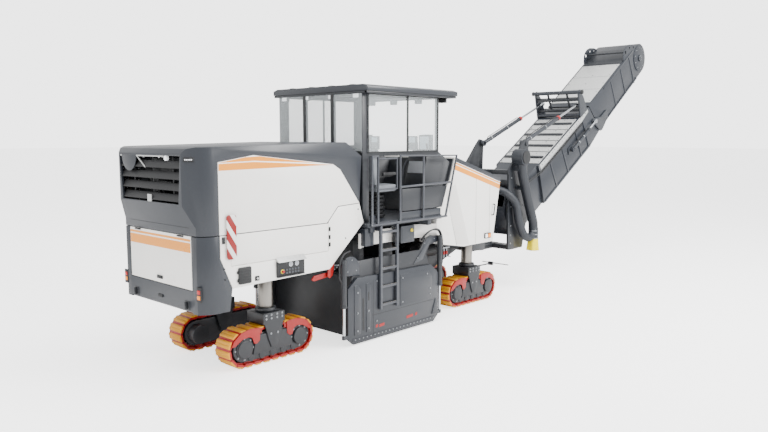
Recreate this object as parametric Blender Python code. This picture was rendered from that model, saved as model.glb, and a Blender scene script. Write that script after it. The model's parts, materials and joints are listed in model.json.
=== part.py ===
"""Cold planer: a road milling machine on four steered tracks, with a folding discharge conveyor.

Metres, +X forward (towards the conveyor's head), +Y to the machine's left, +Z up, ground at z = 0.
Every shape is drawn from the middle of the rear tracks (x = 0 there); the empty "machine" then
sets the whole model so that the origin lies under the middle of its box.
"""

import math
from math import cos, pi, radians, sin

import bmesh
import bpy
from mathutils import Matrix, Vector

# ---- clearances ----
TOUCH = 0.0003
SEAM = 0.010
RUNNING = 0.010
RIGHT, LEFT = -1, 1

# ---- tracks and lifting columns ----
WHEELBASE = 4.85
TRACK_Y = 0.61
TRACK_LENGTH = 1.54
TRACK_HEIGHT = 0.55
PAD_WIDTH = 0.32
PAD_HEIGHT = 0.045
CHAIN_DEPTH = 0.035
PADS = 24
PAD_GAP = 0.014
SADDLE_HALF = 0.19
SADDLE_TOP = 0.72
SADDLE_PLATE = 0.028
COLUMN_RADIUS = 0.105
COLUMN_TOP = 1.60
SLEEVE_RADIUS = 0.155
SLEEVE_BOTTOM = 1.19

# ---- main frame ----
FRAME_REAR = -1.21
FRAME_FRONT = 5.10
FRAME_BOTTOM = 1.55
FRAME_TOP = 1.80
RAIL_INNER = 0.46
RAIL_OUTER = 0.58

# ---- rear body: lower panels, flap and hood ----
BODY_HALF = 1.03
PANEL = 0.030
REAR_FACE = -1.30
OVERHANG = -1.42
BUMPER_BOTTOM = 0.93
FLAP_BOTTOM = 1.235
FLAP_HALF = 0.785
FLAP_THICK = 0.045
HOOD_SEAM = 1.945
HOOD_TOP_REAR = 3.07
HOOD_TOP_FRONT = 3.12
HOOD_FRONT = 1.55
HOOD_WALL = 0.040
POST_EDGE = -1.03
DOOR_REAR = -0.86
DOOR_FRONT = 0.85
DOOR_BOTTOM = 1.52
GRILLE_BOTTOM = 2.33
GRILLE_TOP = 2.98
GRILLE_HALF = 0.78
BRACKET_REAR, BRACKET_FRONT = -0.50, 1.00

# ---- cooling pack and engine ----
ENGINE_REAR, ENGINE_FRONT = -0.62, 0.88
ENGINE_HALF = 0.42
ENGINE_TOP = 2.55
RADIATOR_REAR, RADIATOR_FRONT = -1.17, -1.00
RADIATOR_HALF = 0.72
RADIATOR_TOP = 2.93
FAN_RADIUS = 0.36
FAN_X = -1.26
FAN_Z = 2.56
FAN_BLADES = 8
FAN_HUB = 0.09
BLADE_ROOT = 0.07
BLADE_PITCH = 32

# ---- front body and platform ----
FRONT_HALF = 1.01
FRONT_WALL = 0.035
FRONT_REAR_X = 3.42
FRONT_BOTTOM = 1.21
FRONT_TOP_REAR = (3.94, 2.84)
FRONT_TOP_FRONT = (5.38, 2.41)
FRONT_NOSE_X = 5.14
NOSE_GAP_TOP = 1.86
WAIST_HALF = 0.80
WAIST_BOTTOM = 1.47
PLATFORM_REAR = 1.60
PLATFORM_HALF = 1.12
PLATFORM_TOP = 1.87
WALL_TOP = 2.95
RAIL_TUBE = 0.020
RAIL_TOP = 2.90
LADDER_X = (1.86, 2.24)
LADDER_BOTTOM = 0.48
RUNG_STEP = 0.29
ROOF_FRONT = 3.82
ROOF_HALF = 1.13
ROOF_BOTTOM, ROOF_TOP = 3.90, 4.00
POST_X = (1.70, 3.44)
POST_Y = 1.00
GLASS = 0.008

# ---- milling drum, its housing and side plates ----
DRUM_X = 2.25
DRUM_Z = 0.58
DRUM_RADIUS = 0.50
DRUM_HALF = 0.995
HOUSING_INNER = 1.02
HOUSING_OUTER = 1.05
HOUSING_SHELL = 0.045
DRUM_CLEARANCE = 0.075
BLADE_GAP = 0.006
SIDE_REAR, SIDE_FRONT = 1.17, 3.35
SIDE_INNER, SIDE_OUTER = 1.062, 1.107
SIDE_BOTTOM = 0.020
SIDE_TOP = 1.05
CYLINDER_Y = 1.085
CYLINDER_OFFSET = 0.065
BARREL_RADIUS = 0.045
BARREL_BORE = 0.030
ROD_RADIUS = 0.022
SIDE_LIFT = 0.40

# ---- conveyors ----
PITCH = radians(31)
SLEW_X = 6.05
LIFT_X, LIFT_Z = 6.75, 1.55
CONVEYOR_HALF = 0.50
HEAD_HALF = 0.56
FOLD_U, FOLD_N = 4.08, -0.30
NOSE_U, NOSE_N, NOSE_RADIUS = 6.88, 0.22, 0.38
LOWER_BOTTOM_N, LOWER_TOP_N = -0.40, 0.46
CONVEYOR_WALL = 0.035
HOPPER_HALF = 0.44
MAST_INNER, MAST_OUTER = 0.56, 0.60
EYE_X, EYE_Z, EYE_Y = 6.95, 3.06, 0.50
ROD_EYE_U, ROD_EYE_N = 3.58, 0.72
FOLD_RANGE = 70
FOLD_LEVER = 0.45
FOLD_BARREL_U, FOLD_BARREL_N = 2.55, 0.05
FOLD_RAM_Y = 0.645
LIFT_CLOSING = 0.17
PIN_STUB = 0.033
FEED_START = (3.05, 0.55)
FEED_END = (5.86, 1.587)
FEED_DEPTH = 0.34
FEED_HALF = 0.40
FEED_HEAD_HALF = 0.24

TIP_X = LIFT_X + NOSE_U * cos(PITCH) - NOSE_N * sin(PITCH) + NOSE_RADIUS
MIDDLE_X = (OVERHANG + TIP_X) / 2

# name: colour, roughness, metallic
FINISHES = {
    "slate_paint": ((0.105, 0.115, 0.135, 1), 0.42, 0.0),
    "white_paint": ((0.90, 0.88, 0.85, 1), 0.35, 0.0),
    "dark_frame": ((0.045, 0.050, 0.060, 1), 0.55, 0.0),
    "black_plastic": ((0.015, 0.016, 0.018, 1), 0.60, 0.0),
    "chrome_rod": ((0.75, 0.76, 0.78, 1), 0.12, 1.0),
    "track_pads": ((0.72, 0.46, 0.07, 1), 0.70, 0.0),
    "clear_glass": ((0.80, 0.84, 0.86, 0.3), 0.05, 0.0),
    "tool_steel": ((0.10, 0.10, 0.11, 1), 0.50, 0.8),
    "seat_vinyl": ((0.03, 0.03, 0.035, 1), 0.65, 0.0),
}


# ---------------------------------------------------------------- shapes


def finish(name):
    material = bpy.data.materials.get(name)
    if material is None:
        colour, roughness, metallic = FINISHES[name]
        material = bpy.data.materials.new(name)
        material.use_nodes = True
        shader = material.node_tree.nodes["Principled BSDF"]
        shader.inputs["Base Color"].default_value = colour
        shader.inputs["Roughness"].default_value = roughness
        shader.inputs["Metallic"].default_value = metallic
        material.diffuse_color = colour
    return material


def from_bmesh(bm):
    bmesh.ops.recalc_face_normals(bm, faces=bm.faces)
    mesh = bpy.data.meshes.new("lump")
    bm.to_mesh(mesh)
    bm.free()
    obj = bpy.data.objects.new("lump", mesh)
    bpy.context.scene.collection.objects.link(obj)
    return obj


def prism(outline, axis, low, high):
    """A closed outline drawn across one axis and drawn out along it from low to high."""
    at = {
        "X": lambda a, b, t: (t, a, b),
        "Y": lambda a, b, t: (a, t, b),
        "Z": lambda a, b, t: (a, b, t),
    }[axis]
    low, high = sorted((low, high))
    bm = bmesh.new()
    face = bm.faces.new([bm.verts.new(at(a, b, low)) for a, b in outline])
    grown = bmesh.ops.extrude_face_region(bm, geom=[face])["geom"]
    moved = [item for item in grown if isinstance(item, bmesh.types.BMVert)]
    bmesh.ops.translate(bm, vec=Vector(at(0, 0, high - low)), verts=moved)
    return from_bmesh(bm)


def box(x, y, z):
    return prism([(x[0], y[0]), (x[1], y[0]), (x[1], y[1]), (x[0], y[1])], "Z", *z)


def rod(start, end, radius, sides=20):
    start, end = Vector(start), Vector(end)
    along = end - start
    bm = bmesh.new()
    turn = along.to_track_quat("Z", "Y").to_matrix().to_4x4()
    bmesh.ops.create_cone(
        bm,
        cap_ends=True,
        segments=sides,
        radius1=radius,
        radius2=radius,
        depth=along.length,
        matrix=Matrix.Translation((start + end) / 2) @ turn,
    )
    return from_bmesh(bm)


def pipe(points, radius, resolution=2):
    curve = bpy.data.curves.new("pipe", "CURVE")
    curve.dimensions = "3D"
    curve.bevel_depth = radius
    curve.bevel_resolution = resolution
    curve.use_fill_caps = True
    spline = curve.splines.new("POLY")
    spline.points.add(len(points) - 1)
    for slot, point in zip(spline.points, points):
        slot.co = (*point, 1)
    guide = bpy.data.objects.new("pipe", curve)
    bpy.context.scene.collection.objects.link(guide)
    mesh = baked_mesh(guide)
    bpy.data.objects.remove(guide)
    obj = bpy.data.objects.new("lump", mesh)
    bpy.context.scene.collection.objects.link(obj)
    return obj


def arc(centre, radius, start, end, steps):
    """Points on a circle from one angle to another, in degrees, both ends included."""
    angles = [radians(start + (end - start) * i / steps) for i in range(steps + 1)]
    return [(centre[0] + radius * cos(a), centre[1] + radius * sin(a)) for a in angles]


def baked_mesh(obj):
    graph = bpy.context.evaluated_depsgraph_get()
    return bpy.data.meshes.new_from_object(obj.evaluated_get(graph))


def combine(obj, operation, others):
    """Joins to an object, cuts from it or keeps of it what the other lumps cover; uses them up."""
    if not others:
        return
    tools = bpy.data.collections.new("tools")
    bpy.context.scene.collection.children.link(tools)
    for other in others:
        bpy.context.scene.collection.objects.unlink(other)
        tools.objects.link(other)
    modifier = obj.modifiers.new(operation.lower(), "BOOLEAN")
    modifier.operation = operation
    modifier.solver = "EXACT"
    modifier.operand_type = "COLLECTION"
    modifier.collection = tools
    mesh = baked_mesh(obj)
    obj.modifiers.clear()
    obj.data = mesh
    for other in others:
        bpy.data.objects.remove(other)
    bpy.data.collections.remove(tools)


PIVOTS = {}


def pivot(name, point, parent="machine"):
    """An empty on a joint's axis, in the order that the joints carry each other."""
    empty = bpy.data.objects.new(name, None)
    bpy.context.scene.collection.objects.link(empty)
    point = Vector(point)
    if parent in PIVOTS:
        empty.parent = PIVOTS[parent][0]
        empty.location = point - PIVOTS[parent][1]
    else:
        empty.location = (-MIDDLE_X, 0, 0)
    PIVOTS[name] = (empty, point)


def part(name, colour, lumps, cuts=(), keep=(), on="machine", sharp=35):
    """One sub-part: lumps joined, then cut and trimmed, set on the pivot that carries it."""
    obj = lumps[0]
    combine(obj, "UNION", lumps[1:])
    combine(obj, "DIFFERENCE", list(cuts))
    combine(obj, "INTERSECT", list(keep))
    obj.name = name
    obj.data.name = name
    empty, point = PIVOTS[on]
    obj.data.transform(Matrix.Translation(-point))
    obj.parent = empty
    obj.data.materials.clear()
    obj.data.materials.append(finish(colour))
    for face in obj.data.polygons:
        face.material_index = 0
    obj.data.shade_smooth()
    obj.data.set_sharp_from_angle(angle=radians(sharp))
    return obj


def on_side(side, inner, outer):
    """The two y values of something between two distances from the centreline."""
    return sorted((side * inner, side * outer))


def side_name(side):
    return "right" if side == RIGHT else "left"


def along_belt(u, n):
    """A point of the discharge conveyor: u up along the belt, n square to it, from the lift pin."""
    x = LIFT_X + u * cos(PITCH) - n * sin(PITCH)
    z = LIFT_Z + u * sin(PITCH) + n * cos(PITCH)
    return (x, z)


# ---------------------------------------------------------------- tracks


def loop_point(run, inset):
    """A point of the track's loop after a run along its outer edge, moved inwards by inset."""
    radius = TRACK_HEIGHT / 2
    straight = TRACK_LENGTH - TRACK_HEIGHT
    lap = 2 * straight + 2 * pi * radius
    run %= lap
    reach = radius - inset
    if run < straight:
        return (run - straight / 2, radius - reach)
    run -= straight
    if run < pi * radius:
        angle = run / radius - pi / 2
        return (straight / 2 + reach * cos(angle), radius + reach * sin(angle))
    run -= pi * radius
    if run < straight:
        return (straight / 2 - run, radius + reach)
    angle = (run - straight) / radius + pi / 2
    return (-straight / 2 + reach * cos(angle), radius + reach * sin(angle))


def stadium(half_straight, radius, centre_z, steps=10):
    right = arc((half_straight, centre_z), radius, -90, 90, steps)
    left = arc((-half_straight, centre_z), radius, 90, 270, steps)
    return right + left


def shifted(outline, dx):
    return [(x + dx, z) for x, z in outline]


def shoe_outline():
    """The track from the side: a chain with a pad standing out on each shoe."""
    lap = 2 * (TRACK_LENGTH - TRACK_HEIGHT) + pi * TRACK_HEIGHT
    pitch = lap / PADS
    outline = []
    for index in range(PADS):
        start = index * pitch + PAD_GAP / 2
        end = (index + 1) * pitch - PAD_GAP / 2
        outline += [loop_point(start, PAD_HEIGHT), loop_point(start, 0)]
        outline += [loop_point(end, 0), loop_point(end, PAD_HEIGHT)]
    return outline


def track_unit(end, side, x):
    """A steered unit: the fixed shoe loop, and the frame with its saddle and lifting column."""
    name = f"{end}_{side_name(side)}"
    y = side * TRACK_Y
    pivot(f"steering_{name}", (x, y, 0))
    radius = TRACK_HEIGHT / 2
    half_straight = TRACK_LENGTH / 2 - radius
    inner = radius - PAD_HEIGHT - CHAIN_DEPTH
    half = PAD_WIDTH / 2
    loop = prism(shifted(shoe_outline(), x), "Y", y - half, y + half)
    hole = prism(
        shifted(stadium(half_straight, inner, radius), x), "Y", y - 1, y + 1
    )
    part(f"track_{name}", "track_pads", [loop], [hole], on=f"steering_{name}")

    core_half = half - 0.012
    core = stadium(half_straight, inner - 0.012, radius)
    plate_out = half + 0.006 + SADDLE_PLATE
    plate = [
        (x - SADDLE_HALF, SADDLE_TOP),
        (x + SADDLE_HALF, SADDLE_TOP),
        (x + 0.17, 0.58),
        (x + 0.10, 0.34),
        (x + 0.06, 0.24),
        (x - 0.06, 0.24),
        (x - 0.10, 0.34),
        (x - 0.17, 0.58),
    ]
    motor_x = x - half_straight
    lumps = [
        prism(shifted(core, x), "Y", y - core_half, y + core_half),
        box((x - 0.06, x + 0.06), (y - plate_out, y + plate_out), (0.22, 0.36)),
        prism(plate, "Y", y - plate_out, y - plate_out + SADDLE_PLATE),
        prism(plate, "Y", y + plate_out - SADDLE_PLATE, y + plate_out),
        box(
            (x - SADDLE_HALF, x + SADDLE_HALF),
            (y - plate_out, y + plate_out),
            (TRACK_HEIGHT + 0.014, SADDLE_TOP),
        ),
        rod((x, y, SADDLE_TOP - 0.02), (x, y, COLUMN_TOP), COLUMN_RADIUS, 28),
        rod((motor_x, y - side * 0.30, radius), (motor_x, y + side * 0.168, radius), 0.14, 24),
    ]
    part(f"bogie_{name}", "dark_frame", lumps, on=f"steering_{name}")


def tracks():
    for end, x in (("rear", 0.0), ("front", WHEELBASE)):
        for side in (RIGHT, LEFT):
            track_unit(end, side, x)


# ---------------------------------------------------------------- frame and engine


def main_frame():
    deep = (FRAME_BOTTOM, FRAME_TOP)
    lumps = []
    for side in (RIGHT, LEFT):
        rail = on_side(side, RAIL_INNER, RAIL_OUTER)
        lumps.append(box((FRAME_REAR, FRAME_FRONT), rail, deep))
        lumps.append(box((FRAME_REAR, -1.10), rail, (FLAP_BOTTOM - SEAM + TOUCH, FRAME_TOP - 0.05)))
        for x in (0.0, WHEELBASE):
            y = side * TRACK_Y
            lumps.append(rod((x, y, SLEEVE_BOTTOM), (x, y, FRAME_TOP - 0.01), SLEEVE_RADIUS, 28))
    for x in (0.0, WHEELBASE):
        carrier = TRACK_Y + SLEEVE_RADIUS + 0.02
        lumps.append(box((x - 0.13, x + 0.13), (-carrier, carrier), (1.58, FRAME_TOP - 0.005)))
    for x in (-1.15, 1.45, 3.25):
        lumps.append(box((x - 0.06, x + 0.06), (-0.5, 0.5), (1.58, FRAME_TOP - 0.01)))
    bores = []
    for x in (0.0, WHEELBASE):
        for y in (-TRACK_Y, TRACK_Y):
            bore = COLUMN_RADIUS + RUNNING
            bores.append(rod((x, y, 1.0), (x, y, COLUMN_TOP + 0.03), bore, 28))
    part("main_frame", "dark_frame", lumps, bores)


def engine_and_cooler():
    foot = FRAME_TOP + TOUCH
    block = [
        (ENGINE_REAR, foot),
        (ENGINE_FRONT, foot),
        (ENGINE_FRONT, ENGINE_TOP - 0.2),
        (ENGINE_FRONT - 0.2, ENGINE_TOP),
        (ENGINE_REAR + 0.1, ENGINE_TOP),
        (ENGINE_REAR, ENGINE_TOP - 0.1),
    ]
    saddle = RAIL_OUTER
    feet = box((-0.3, 0.6), (-saddle, saddle), (foot, foot + 0.15))
    part("engine_block", "dark_frame", [prism(block, "Y", -ENGINE_HALF, ENGINE_HALF), feet])
    cooler = box((RADIATOR_REAR, RADIATOR_FRONT), (-RADIATOR_HALF, RADIATOR_HALF), (foot, RADIATOR_TOP))
    part("radiator", "black_plastic", [cooler])


def cooling_fan():
    pivot("fan", (FAN_X, 0, FAN_Z))
    hub = rod((FAN_X - 0.04, 0, FAN_Z), (RADIATOR_REAR - RUNNING, 0, FAN_Z), FAN_HUB, 24)
    blades = []
    for index in range(FAN_BLADES):
        blade = box((-0.008, 0.008), (-0.075, 0.075), (BLADE_ROOT, FAN_RADIUS))
        lean = Matrix.Rotation(radians(BLADE_PITCH), 4, "Z")
        turn = Matrix.Rotation(2 * pi * index / FAN_BLADES, 4, "X")
        blade.data.transform(Matrix.Translation((FAN_X, 0, FAN_Z)) @ turn @ lean)
        blades.append(blade)
    part("cooling_fan", "black_plastic", [hub] + blades, on="fan")


# ---------------------------------------------------------------- rear body


def body_plan(half, front):
    """The body from above: square at the front, its rear corners rounded off in facets."""
    corner = [
        (OVERHANG - 0.01, half - 0.24),
        (REAR_FACE, half - 0.12),
        (-1.22, half - 0.045),
        (-1.12, half),
        (front, half),
    ]
    return corner + [(x, -y) for x, y in reversed(corner)]


def rear_frame():
    """The bumper beam and the two corner posts below the hood's seam."""
    low, high = BUMPER_BOTTOM, HOOD_SEAM - SEAM
    front_edge = -0.84
    posts = []
    for side in (RIGHT, LEFT):
        plan = [
            (REAR_FACE, side * (FLAP_HALF + 0.006)),
            (REAR_FACE, side * BODY_HALF),
            (front_edge, side * BODY_HALF),
            (front_edge, side * (BODY_HALF - PANEL)),
            (-1.06, side * (BODY_HALF - 0.06)),
            (-1.17, side * (FLAP_HALF + 0.006)),
        ]
        posts.append(prism(plan, "Z", low, high))
    beam = [
        (REAR_FACE, low + 0.03),
        (REAR_FACE, FLAP_BOTTOM - SEAM),
        (-1.06, FLAP_BOTTOM - SEAM),
        (-1.06, low),
        (REAR_FACE + 0.03, low),
    ]
    bumper = prism(beam, "Y", -FLAP_HALF - 0.05, FLAP_HALF + 0.05)
    waste = [
        (POST_EDGE, 2.1),
        (POST_EDGE, 1.64),
        (-0.85, FRONT_BOTTOM + 0.01),
        (-0.91, low - 0.1),
        (-0.5, low - 0.1),
        (-0.5, 2.1),
    ]
    plan = prism(body_plan(BODY_HALF, -0.8), "Z", low - 0.1, high + 0.1)
    trim = prism(waste, "Y", -1.2, 1.2)
    part("rear_frame", "slate_paint", [bumper] + posts, [trim], [plan])


def rear_flap():
    hinge_x = REAR_FACE - 0.015
    hinge_z = HOOD_SEAM - SEAM - 0.020
    pivot("rear_flap_hinge", (hinge_x, 0, hinge_z))
    panel = box(
        (REAR_FACE, REAR_FACE + FLAP_THICK),
        (-FLAP_HALF, FLAP_HALF),
        (FLAP_BOTTOM, HOOD_SEAM - SEAM),
    )
    part("rear_flap", "white_paint", [panel], on="rear_flap_hinge")


def hood_outline():
    """The hood from the side, closed along the seam that it opens at."""
    return [
        (REAR_FACE, HOOD_SEAM),
        (REAR_FACE, 2.05),
        (OVERHANG, GRILLE_BOTTOM),
        (OVERHANG, GRILLE_TOP + 0.01),
        (-1.37, 3.05),
        (-1.28, HOOD_TOP_REAR),
        (1.22, HOOD_TOP_FRONT),
        (HOOD_FRONT, 2.91),
        (1.50, 2.195),
        (1.05, 2.175),
        (0.83, HOOD_SEAM),
    ]


def white_side_outline():
    """The white panel let into the hood's flank."""
    return [
        (POST_EDGE, HOOD_SEAM),
        (POST_EDGE, 2.88),
        (-0.47, 2.96),
        (0.96, 2.80),
        (1.10, 2.72),
        (1.50, 2.195),
        (1.05, 2.175),
        (0.83, HOOD_SEAM),
    ]


def white_side_opening():
    """The hole for that panel: a seam wider along its inner edges, and open below."""
    gap = 0.003
    top = white_side_outline()[1:5]
    rear, front = top[0], top[-1]
    inner = [(rear[0] - gap, rear[1] + gap)] + [(x, z + gap) for x, z in top[1:-1]]
    inner += [(front[0] + gap, front[1] + gap), (1.50 + gap, 2.2), (1.50 + gap, 1.84)]
    return [(rear[0] - gap, 1.84)] + inner


def hood():
    pivot("hood_hinge", (REAR_FACE, 0, HOOD_SEAM))
    outer = prism(hood_outline(), "Y", -BODY_HALF, BODY_HALF)
    plan = prism(body_plan(BODY_HALF, 1.7), "Z", 1.8, 3.3)
    hollow_side = [
        (REAR_FACE + HOOD_WALL, 1.8),
        (REAR_FACE + HOOD_WALL, 2.06),
        (OVERHANG + HOOD_WALL, GRILLE_BOTTOM + 0.01),
        (OVERHANG + HOOD_WALL, GRILLE_TOP),
        (-1.26, HOOD_TOP_REAR - HOOD_WALL),
        (1.20, HOOD_TOP_FRONT - HOOD_WALL),
        (HOOD_FRONT - HOOD_WALL, 2.89),
        (1.50 - HOOD_WALL, 2.24),
        (1.50 - HOOD_WALL, 1.8),
    ]
    inner_half = BODY_HALF - HOOD_WALL
    hollow = prism(hollow_side, "Y", -inner_half, inner_half)
    combine(hollow, "INTERSECT", [prism(body_plan(inner_half, 1.7), "Z", 1.7, 3.3)])
    cuts = [hollow]
    for side in (RIGHT, LEFT):
        opening = on_side(side, BODY_HALF - 0.2, BODY_HALF + 0.1)
        cuts.append(prism(white_side_opening(), "Y", *opening))
    mouth = [
        (-GRILLE_HALF, GRILLE_TOP - 0.02),
        (-GRILLE_HALF + 0.06, GRILLE_BOTTOM + 0.02),
        (GRILLE_HALF - 0.06, GRILLE_BOTTOM + 0.02),
        (GRILLE_HALF, GRILLE_TOP - 0.02),
    ]
    cuts.append(prism(mouth, "X", OVERHANG - 0.1, OVERHANG + 0.2))
    part("hood_shell", "slate_paint", [outer], cuts, [plan], on="hood_hinge")

    for side in (RIGHT, LEFT):
        y = on_side(side, BODY_HALF - PANEL, BODY_HALF)
        panel = prism(white_side_outline(), "Y", *y)
        part(f"hood_side_{side_name(side)}", "white_paint", [panel], on="hood_hinge")

    bars = []
    face = (OVERHANG + 0.008, OVERHANG + 0.030)
    for share in (0.0, 1 / 3, 2 / 3, 1.0):
        z = GRILLE_BOTTOM + 0.035 + share * (GRILLE_TOP - GRILLE_BOTTOM - 0.07)
        half = GRILLE_HALF - 0.064 + 0.055 * share
        bars.append(box(face, (-half, half), (z - 0.014, z + 0.014)))
    for y in (-0.42, 0.0, 0.42):
        bars.append(box(face, (y - 0.012, y + 0.012), (GRILLE_BOTTOM + 0.023, GRILLE_TOP - 0.023)))
    part("rear_grille", "black_plastic", bars, on="hood_hinge")


def side_panels():
    for side in (RIGHT, LEFT):
        y = on_side(side, BODY_HALF - PANEL, BODY_HALF)
        gap = SEAM * 0.6
        outline = [
            (POST_EDGE + gap, HOOD_SEAM - SEAM),
            (POST_EDGE + gap, 1.642),
            (-0.85 + gap, 1.225),
            (0.87, 1.25),
            (1.59, 1.885),
            (1.50, 2.185),
            (1.055, 2.165),
            (DOOR_FRONT + gap, HOOD_SEAM + 0.012),
            (DOOR_FRONT + gap, DOOR_BOTTOM),
            (DOOR_REAR - gap, DOOR_BOTTOM),
            (DOOR_REAR - gap, HOOD_SEAM - SEAM),
        ]
        lumps = [prism(outline, "Y", *y)]
        bracket = on_side(side, RAIL_OUTER + TOUCH, BODY_HALF - PANEL + 0.005)
        for x in (BRACKET_REAR, BRACKET_FRONT):
            lumps.append(box((x - 0.05, x + 0.05), bracket, (1.38, 1.48)))
            foot = on_side(side, RAIL_OUTER + TOUCH, RAIL_OUTER + 0.04)
            lumps.append(box((x - 0.05, x + 0.05), foot, (1.38, FRAME_BOTTOM + 0.05)))
        part(f"side_panel_{side_name(side)}", "white_paint", lumps)

        hinge = f"service_door_{side_name(side)}_hinge"
        pivot(hinge, (DOOR_FRONT, side * (BODY_HALF + 0.012), (DOOR_BOTTOM + HOOD_SEAM) / 2))
        leaf = box((DOOR_REAR, DOOR_FRONT), y, (DOOR_BOTTOM + gap, HOOD_SEAM - SEAM))
        part(f"service_door_{side_name(side)}", "white_paint", [leaf], on=hinge)


# ---------------------------------------------------------------- front body and platform


def front_profile(inset=0.0, floor=None):
    """The front body from the side; with an inset, the hollow inside it."""
    i = inset
    low = FRONT_BOTTOM if floor is None else floor
    rise = 0.13 if floor is None else 0.0
    return [
        (FRONT_REAR_X + i, low + rise),
        (4.21, low),
        (FRONT_NOSE_X - i - (0.04 if i else 0), low),
        (FRONT_TOP_FRONT[0] - i, FRONT_TOP_FRONT[1] - i),
        (FRONT_TOP_REAR[0] + i * 0.6, FRONT_TOP_REAR[1] - i * 1.1),
        (3.80 + i, 2.45),
        (3.50 + i, 2.10),
        (FRONT_REAR_X + i, 1.90),
    ]


def front_body():
    """The white front body over the front tracks, with the drawn-in flanks behind it."""
    outer = prism(front_profile(), "Y", -FRONT_HALF, FRONT_HALF)
    inner_half = FRONT_HALF - FRONT_WALL
    hollow = prism(front_profile(FRONT_WALL, 1.0), "Y", -inner_half, inner_half)
    nose_gap = box((4.9, 5.6), (-0.62, 0.62), (0.9, NOSE_GAP_TOP))
    rear_gap = box((3.3, 3.6), (-0.62, 0.62), (0.9, FRAME_TOP + 0.004))
    flanks = []
    for side in (RIGHT, LEFT):
        out, mid = BODY_HALF - 0.05, WAIST_HALF
        plan = [
            (1.56, side * out),
            (1.88, side * (mid + PANEL)),
            (3.05, side * (mid + PANEL)),
            (FRONT_REAR_X + 0.01, side * (out + PANEL)),
            (FRONT_REAR_X + 0.01, side * out),
            (3.07, side * mid),
            (1.86, side * mid),
            (1.56, side * (out - 0.04)),
        ]
        flanks.append(prism(plan, "Z", WAIST_BOTTOM, FRAME_TOP - 0.10))
    combine(outer, "DIFFERENCE", [hollow, nose_gap, rear_gap])
    part("front_body", "white_paint", [outer] + flanks)


def operator_platform():
    floor = FRAME_TOP + TOUCH
    length = (PLATFORM_REAR, FRONT_REAR_X - TOUCH)
    plate = box(length, (-PLATFORM_HALF, PLATFORM_HALF), (floor, PLATFORM_TOP))
    lumps = [plate]
    for side in (RIGHT, LEFT):
        for x in (PLATFORM_REAR + 0.14, FRONT_REAR_X - 0.28):
            reach = on_side(side, RAIL_OUTER + TOUCH, PLATFORM_HALF - 0.04)
            lumps.append(box((x - 0.05, x + 0.05), reach, (FRAME_TOP - 0.09, floor + 0.02)))
    part("operator_platform", "dark_frame", lumps)


def dashboard():
    """The platform's front wall with a console at each side."""
    gap = 0.002
    face = [(FRONT_REAR_X, PLATFORM_TOP + TOUCH), (FRONT_REAR_X, 1.90)]
    face += [(3.50, 2.10), (3.80, 2.45), (3.93, 2.82)]
    outline = [(x - gap, z) for x, z in face] + [(x - 0.035, z) for x, z in reversed(face)]
    lumps = [prism(outline, "Y", -0.99, 0.99)]
    for side in (RIGHT, LEFT):
        console = [
            (3.05, PLATFORM_TOP + TOUCH),
            (3.40, PLATFORM_TOP + TOUCH),
            (3.48, 2.10),
            (3.78, 2.45),
            (3.88, 2.75),
            (3.50, 2.98),
            (3.24, 2.92),
            (3.16, 2.55),
        ]
        lumps.append(prism(console, "Y", *on_side(side, 0.52, 0.93)))
        lumps.append(box((3.46, 3.52), on_side(side, 0.62, 0.84), (2.90, 3.24)))
    part("dashboard", "dark_frame", lumps)


def seats():
    for side in (RIGHT, LEFT):
        y = side * 0.66
        lumps = [
            box((2.20, 2.36), (y - 0.08, y + 0.08), (PLATFORM_TOP + TOUCH, 2.33)),
            box((2.04, 2.52), (y - 0.23, y + 0.23), (2.30, 2.41)),
            prism([(2.02, 2.33), (2.13, 2.33), (2.05, 2.95), (1.95, 2.95)], "Y", y - 0.21, y + 0.21),
        ]
        part(f"seat_{side_name(side)}", "seat_vinyl", lumps)


def railings_and_ladders():
    for side in (RIGHT, LEFT):
        y = side * (PLATFORM_HALF + RAIL_TUBE + TOUCH)
        foot = (FRAME_TOP + PLATFORM_TOP) / 2
        big = [(2.32, foot), (2.32, RAIL_TOP), (3.80, RAIL_TOP - 0.02), (3.50, foot)]
        small = [(1.67, foot), (1.67, RAIL_TOP), (1.80, RAIL_TOP), (1.80, foot)]
        lumps = [
            pipe([(x, y, z) for x, z in big], RAIL_TUBE),
            pipe([(x, y, z) for x, z in small], RAIL_TUBE),
            pipe([(1.64, y, foot), (3.53, y, foot)], RAIL_TUBE),
            pipe([(2.31, y, 2.40), (3.66, y, 2.42)], RAIL_TUBE * 0.9),
            pipe([(2.90, y, foot), (2.90, y, RAIL_TOP - 0.01)], RAIL_TUBE * 0.9),
        ]
        part(f"railing_{side_name(side)}", "slate_paint", lumps)

        rail_y = on_side(side, PLATFORM_HALF + TOUCH, PLATFORM_HALF + 0.040)
        hook_y = on_side(side, PLATFORM_HALF - 0.08, PLATFORM_HALF + 0.030)
        top = foot - RAIL_TUBE - 0.004
        rails = []
        for x in LADDER_X:
            rails.append(box((x - 0.022, x + 0.022), rail_y, (LADDER_BOTTOM, top)))
            rails.append(box((x - 0.020, x + 0.020), hook_y, (FRAME_TOP - 0.07, FRAME_TOP - TOUCH)))
        tread = on_side(side, PLATFORM_HALF + 0.005, PLATFORM_HALF + 0.038)
        first = LADDER_BOTTOM + 0.05
        for index in range(math.ceil((top - 0.1 - first) / RUNG_STEP)):
            z = first + index * RUNG_STEP
            rails.append(box((LADDER_X[0] - 0.01, LADDER_X[1] + 0.01), tread, (z, z + 0.035)))
        part(f"ladder_{side_name(side)}", "slate_paint", rails)


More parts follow.
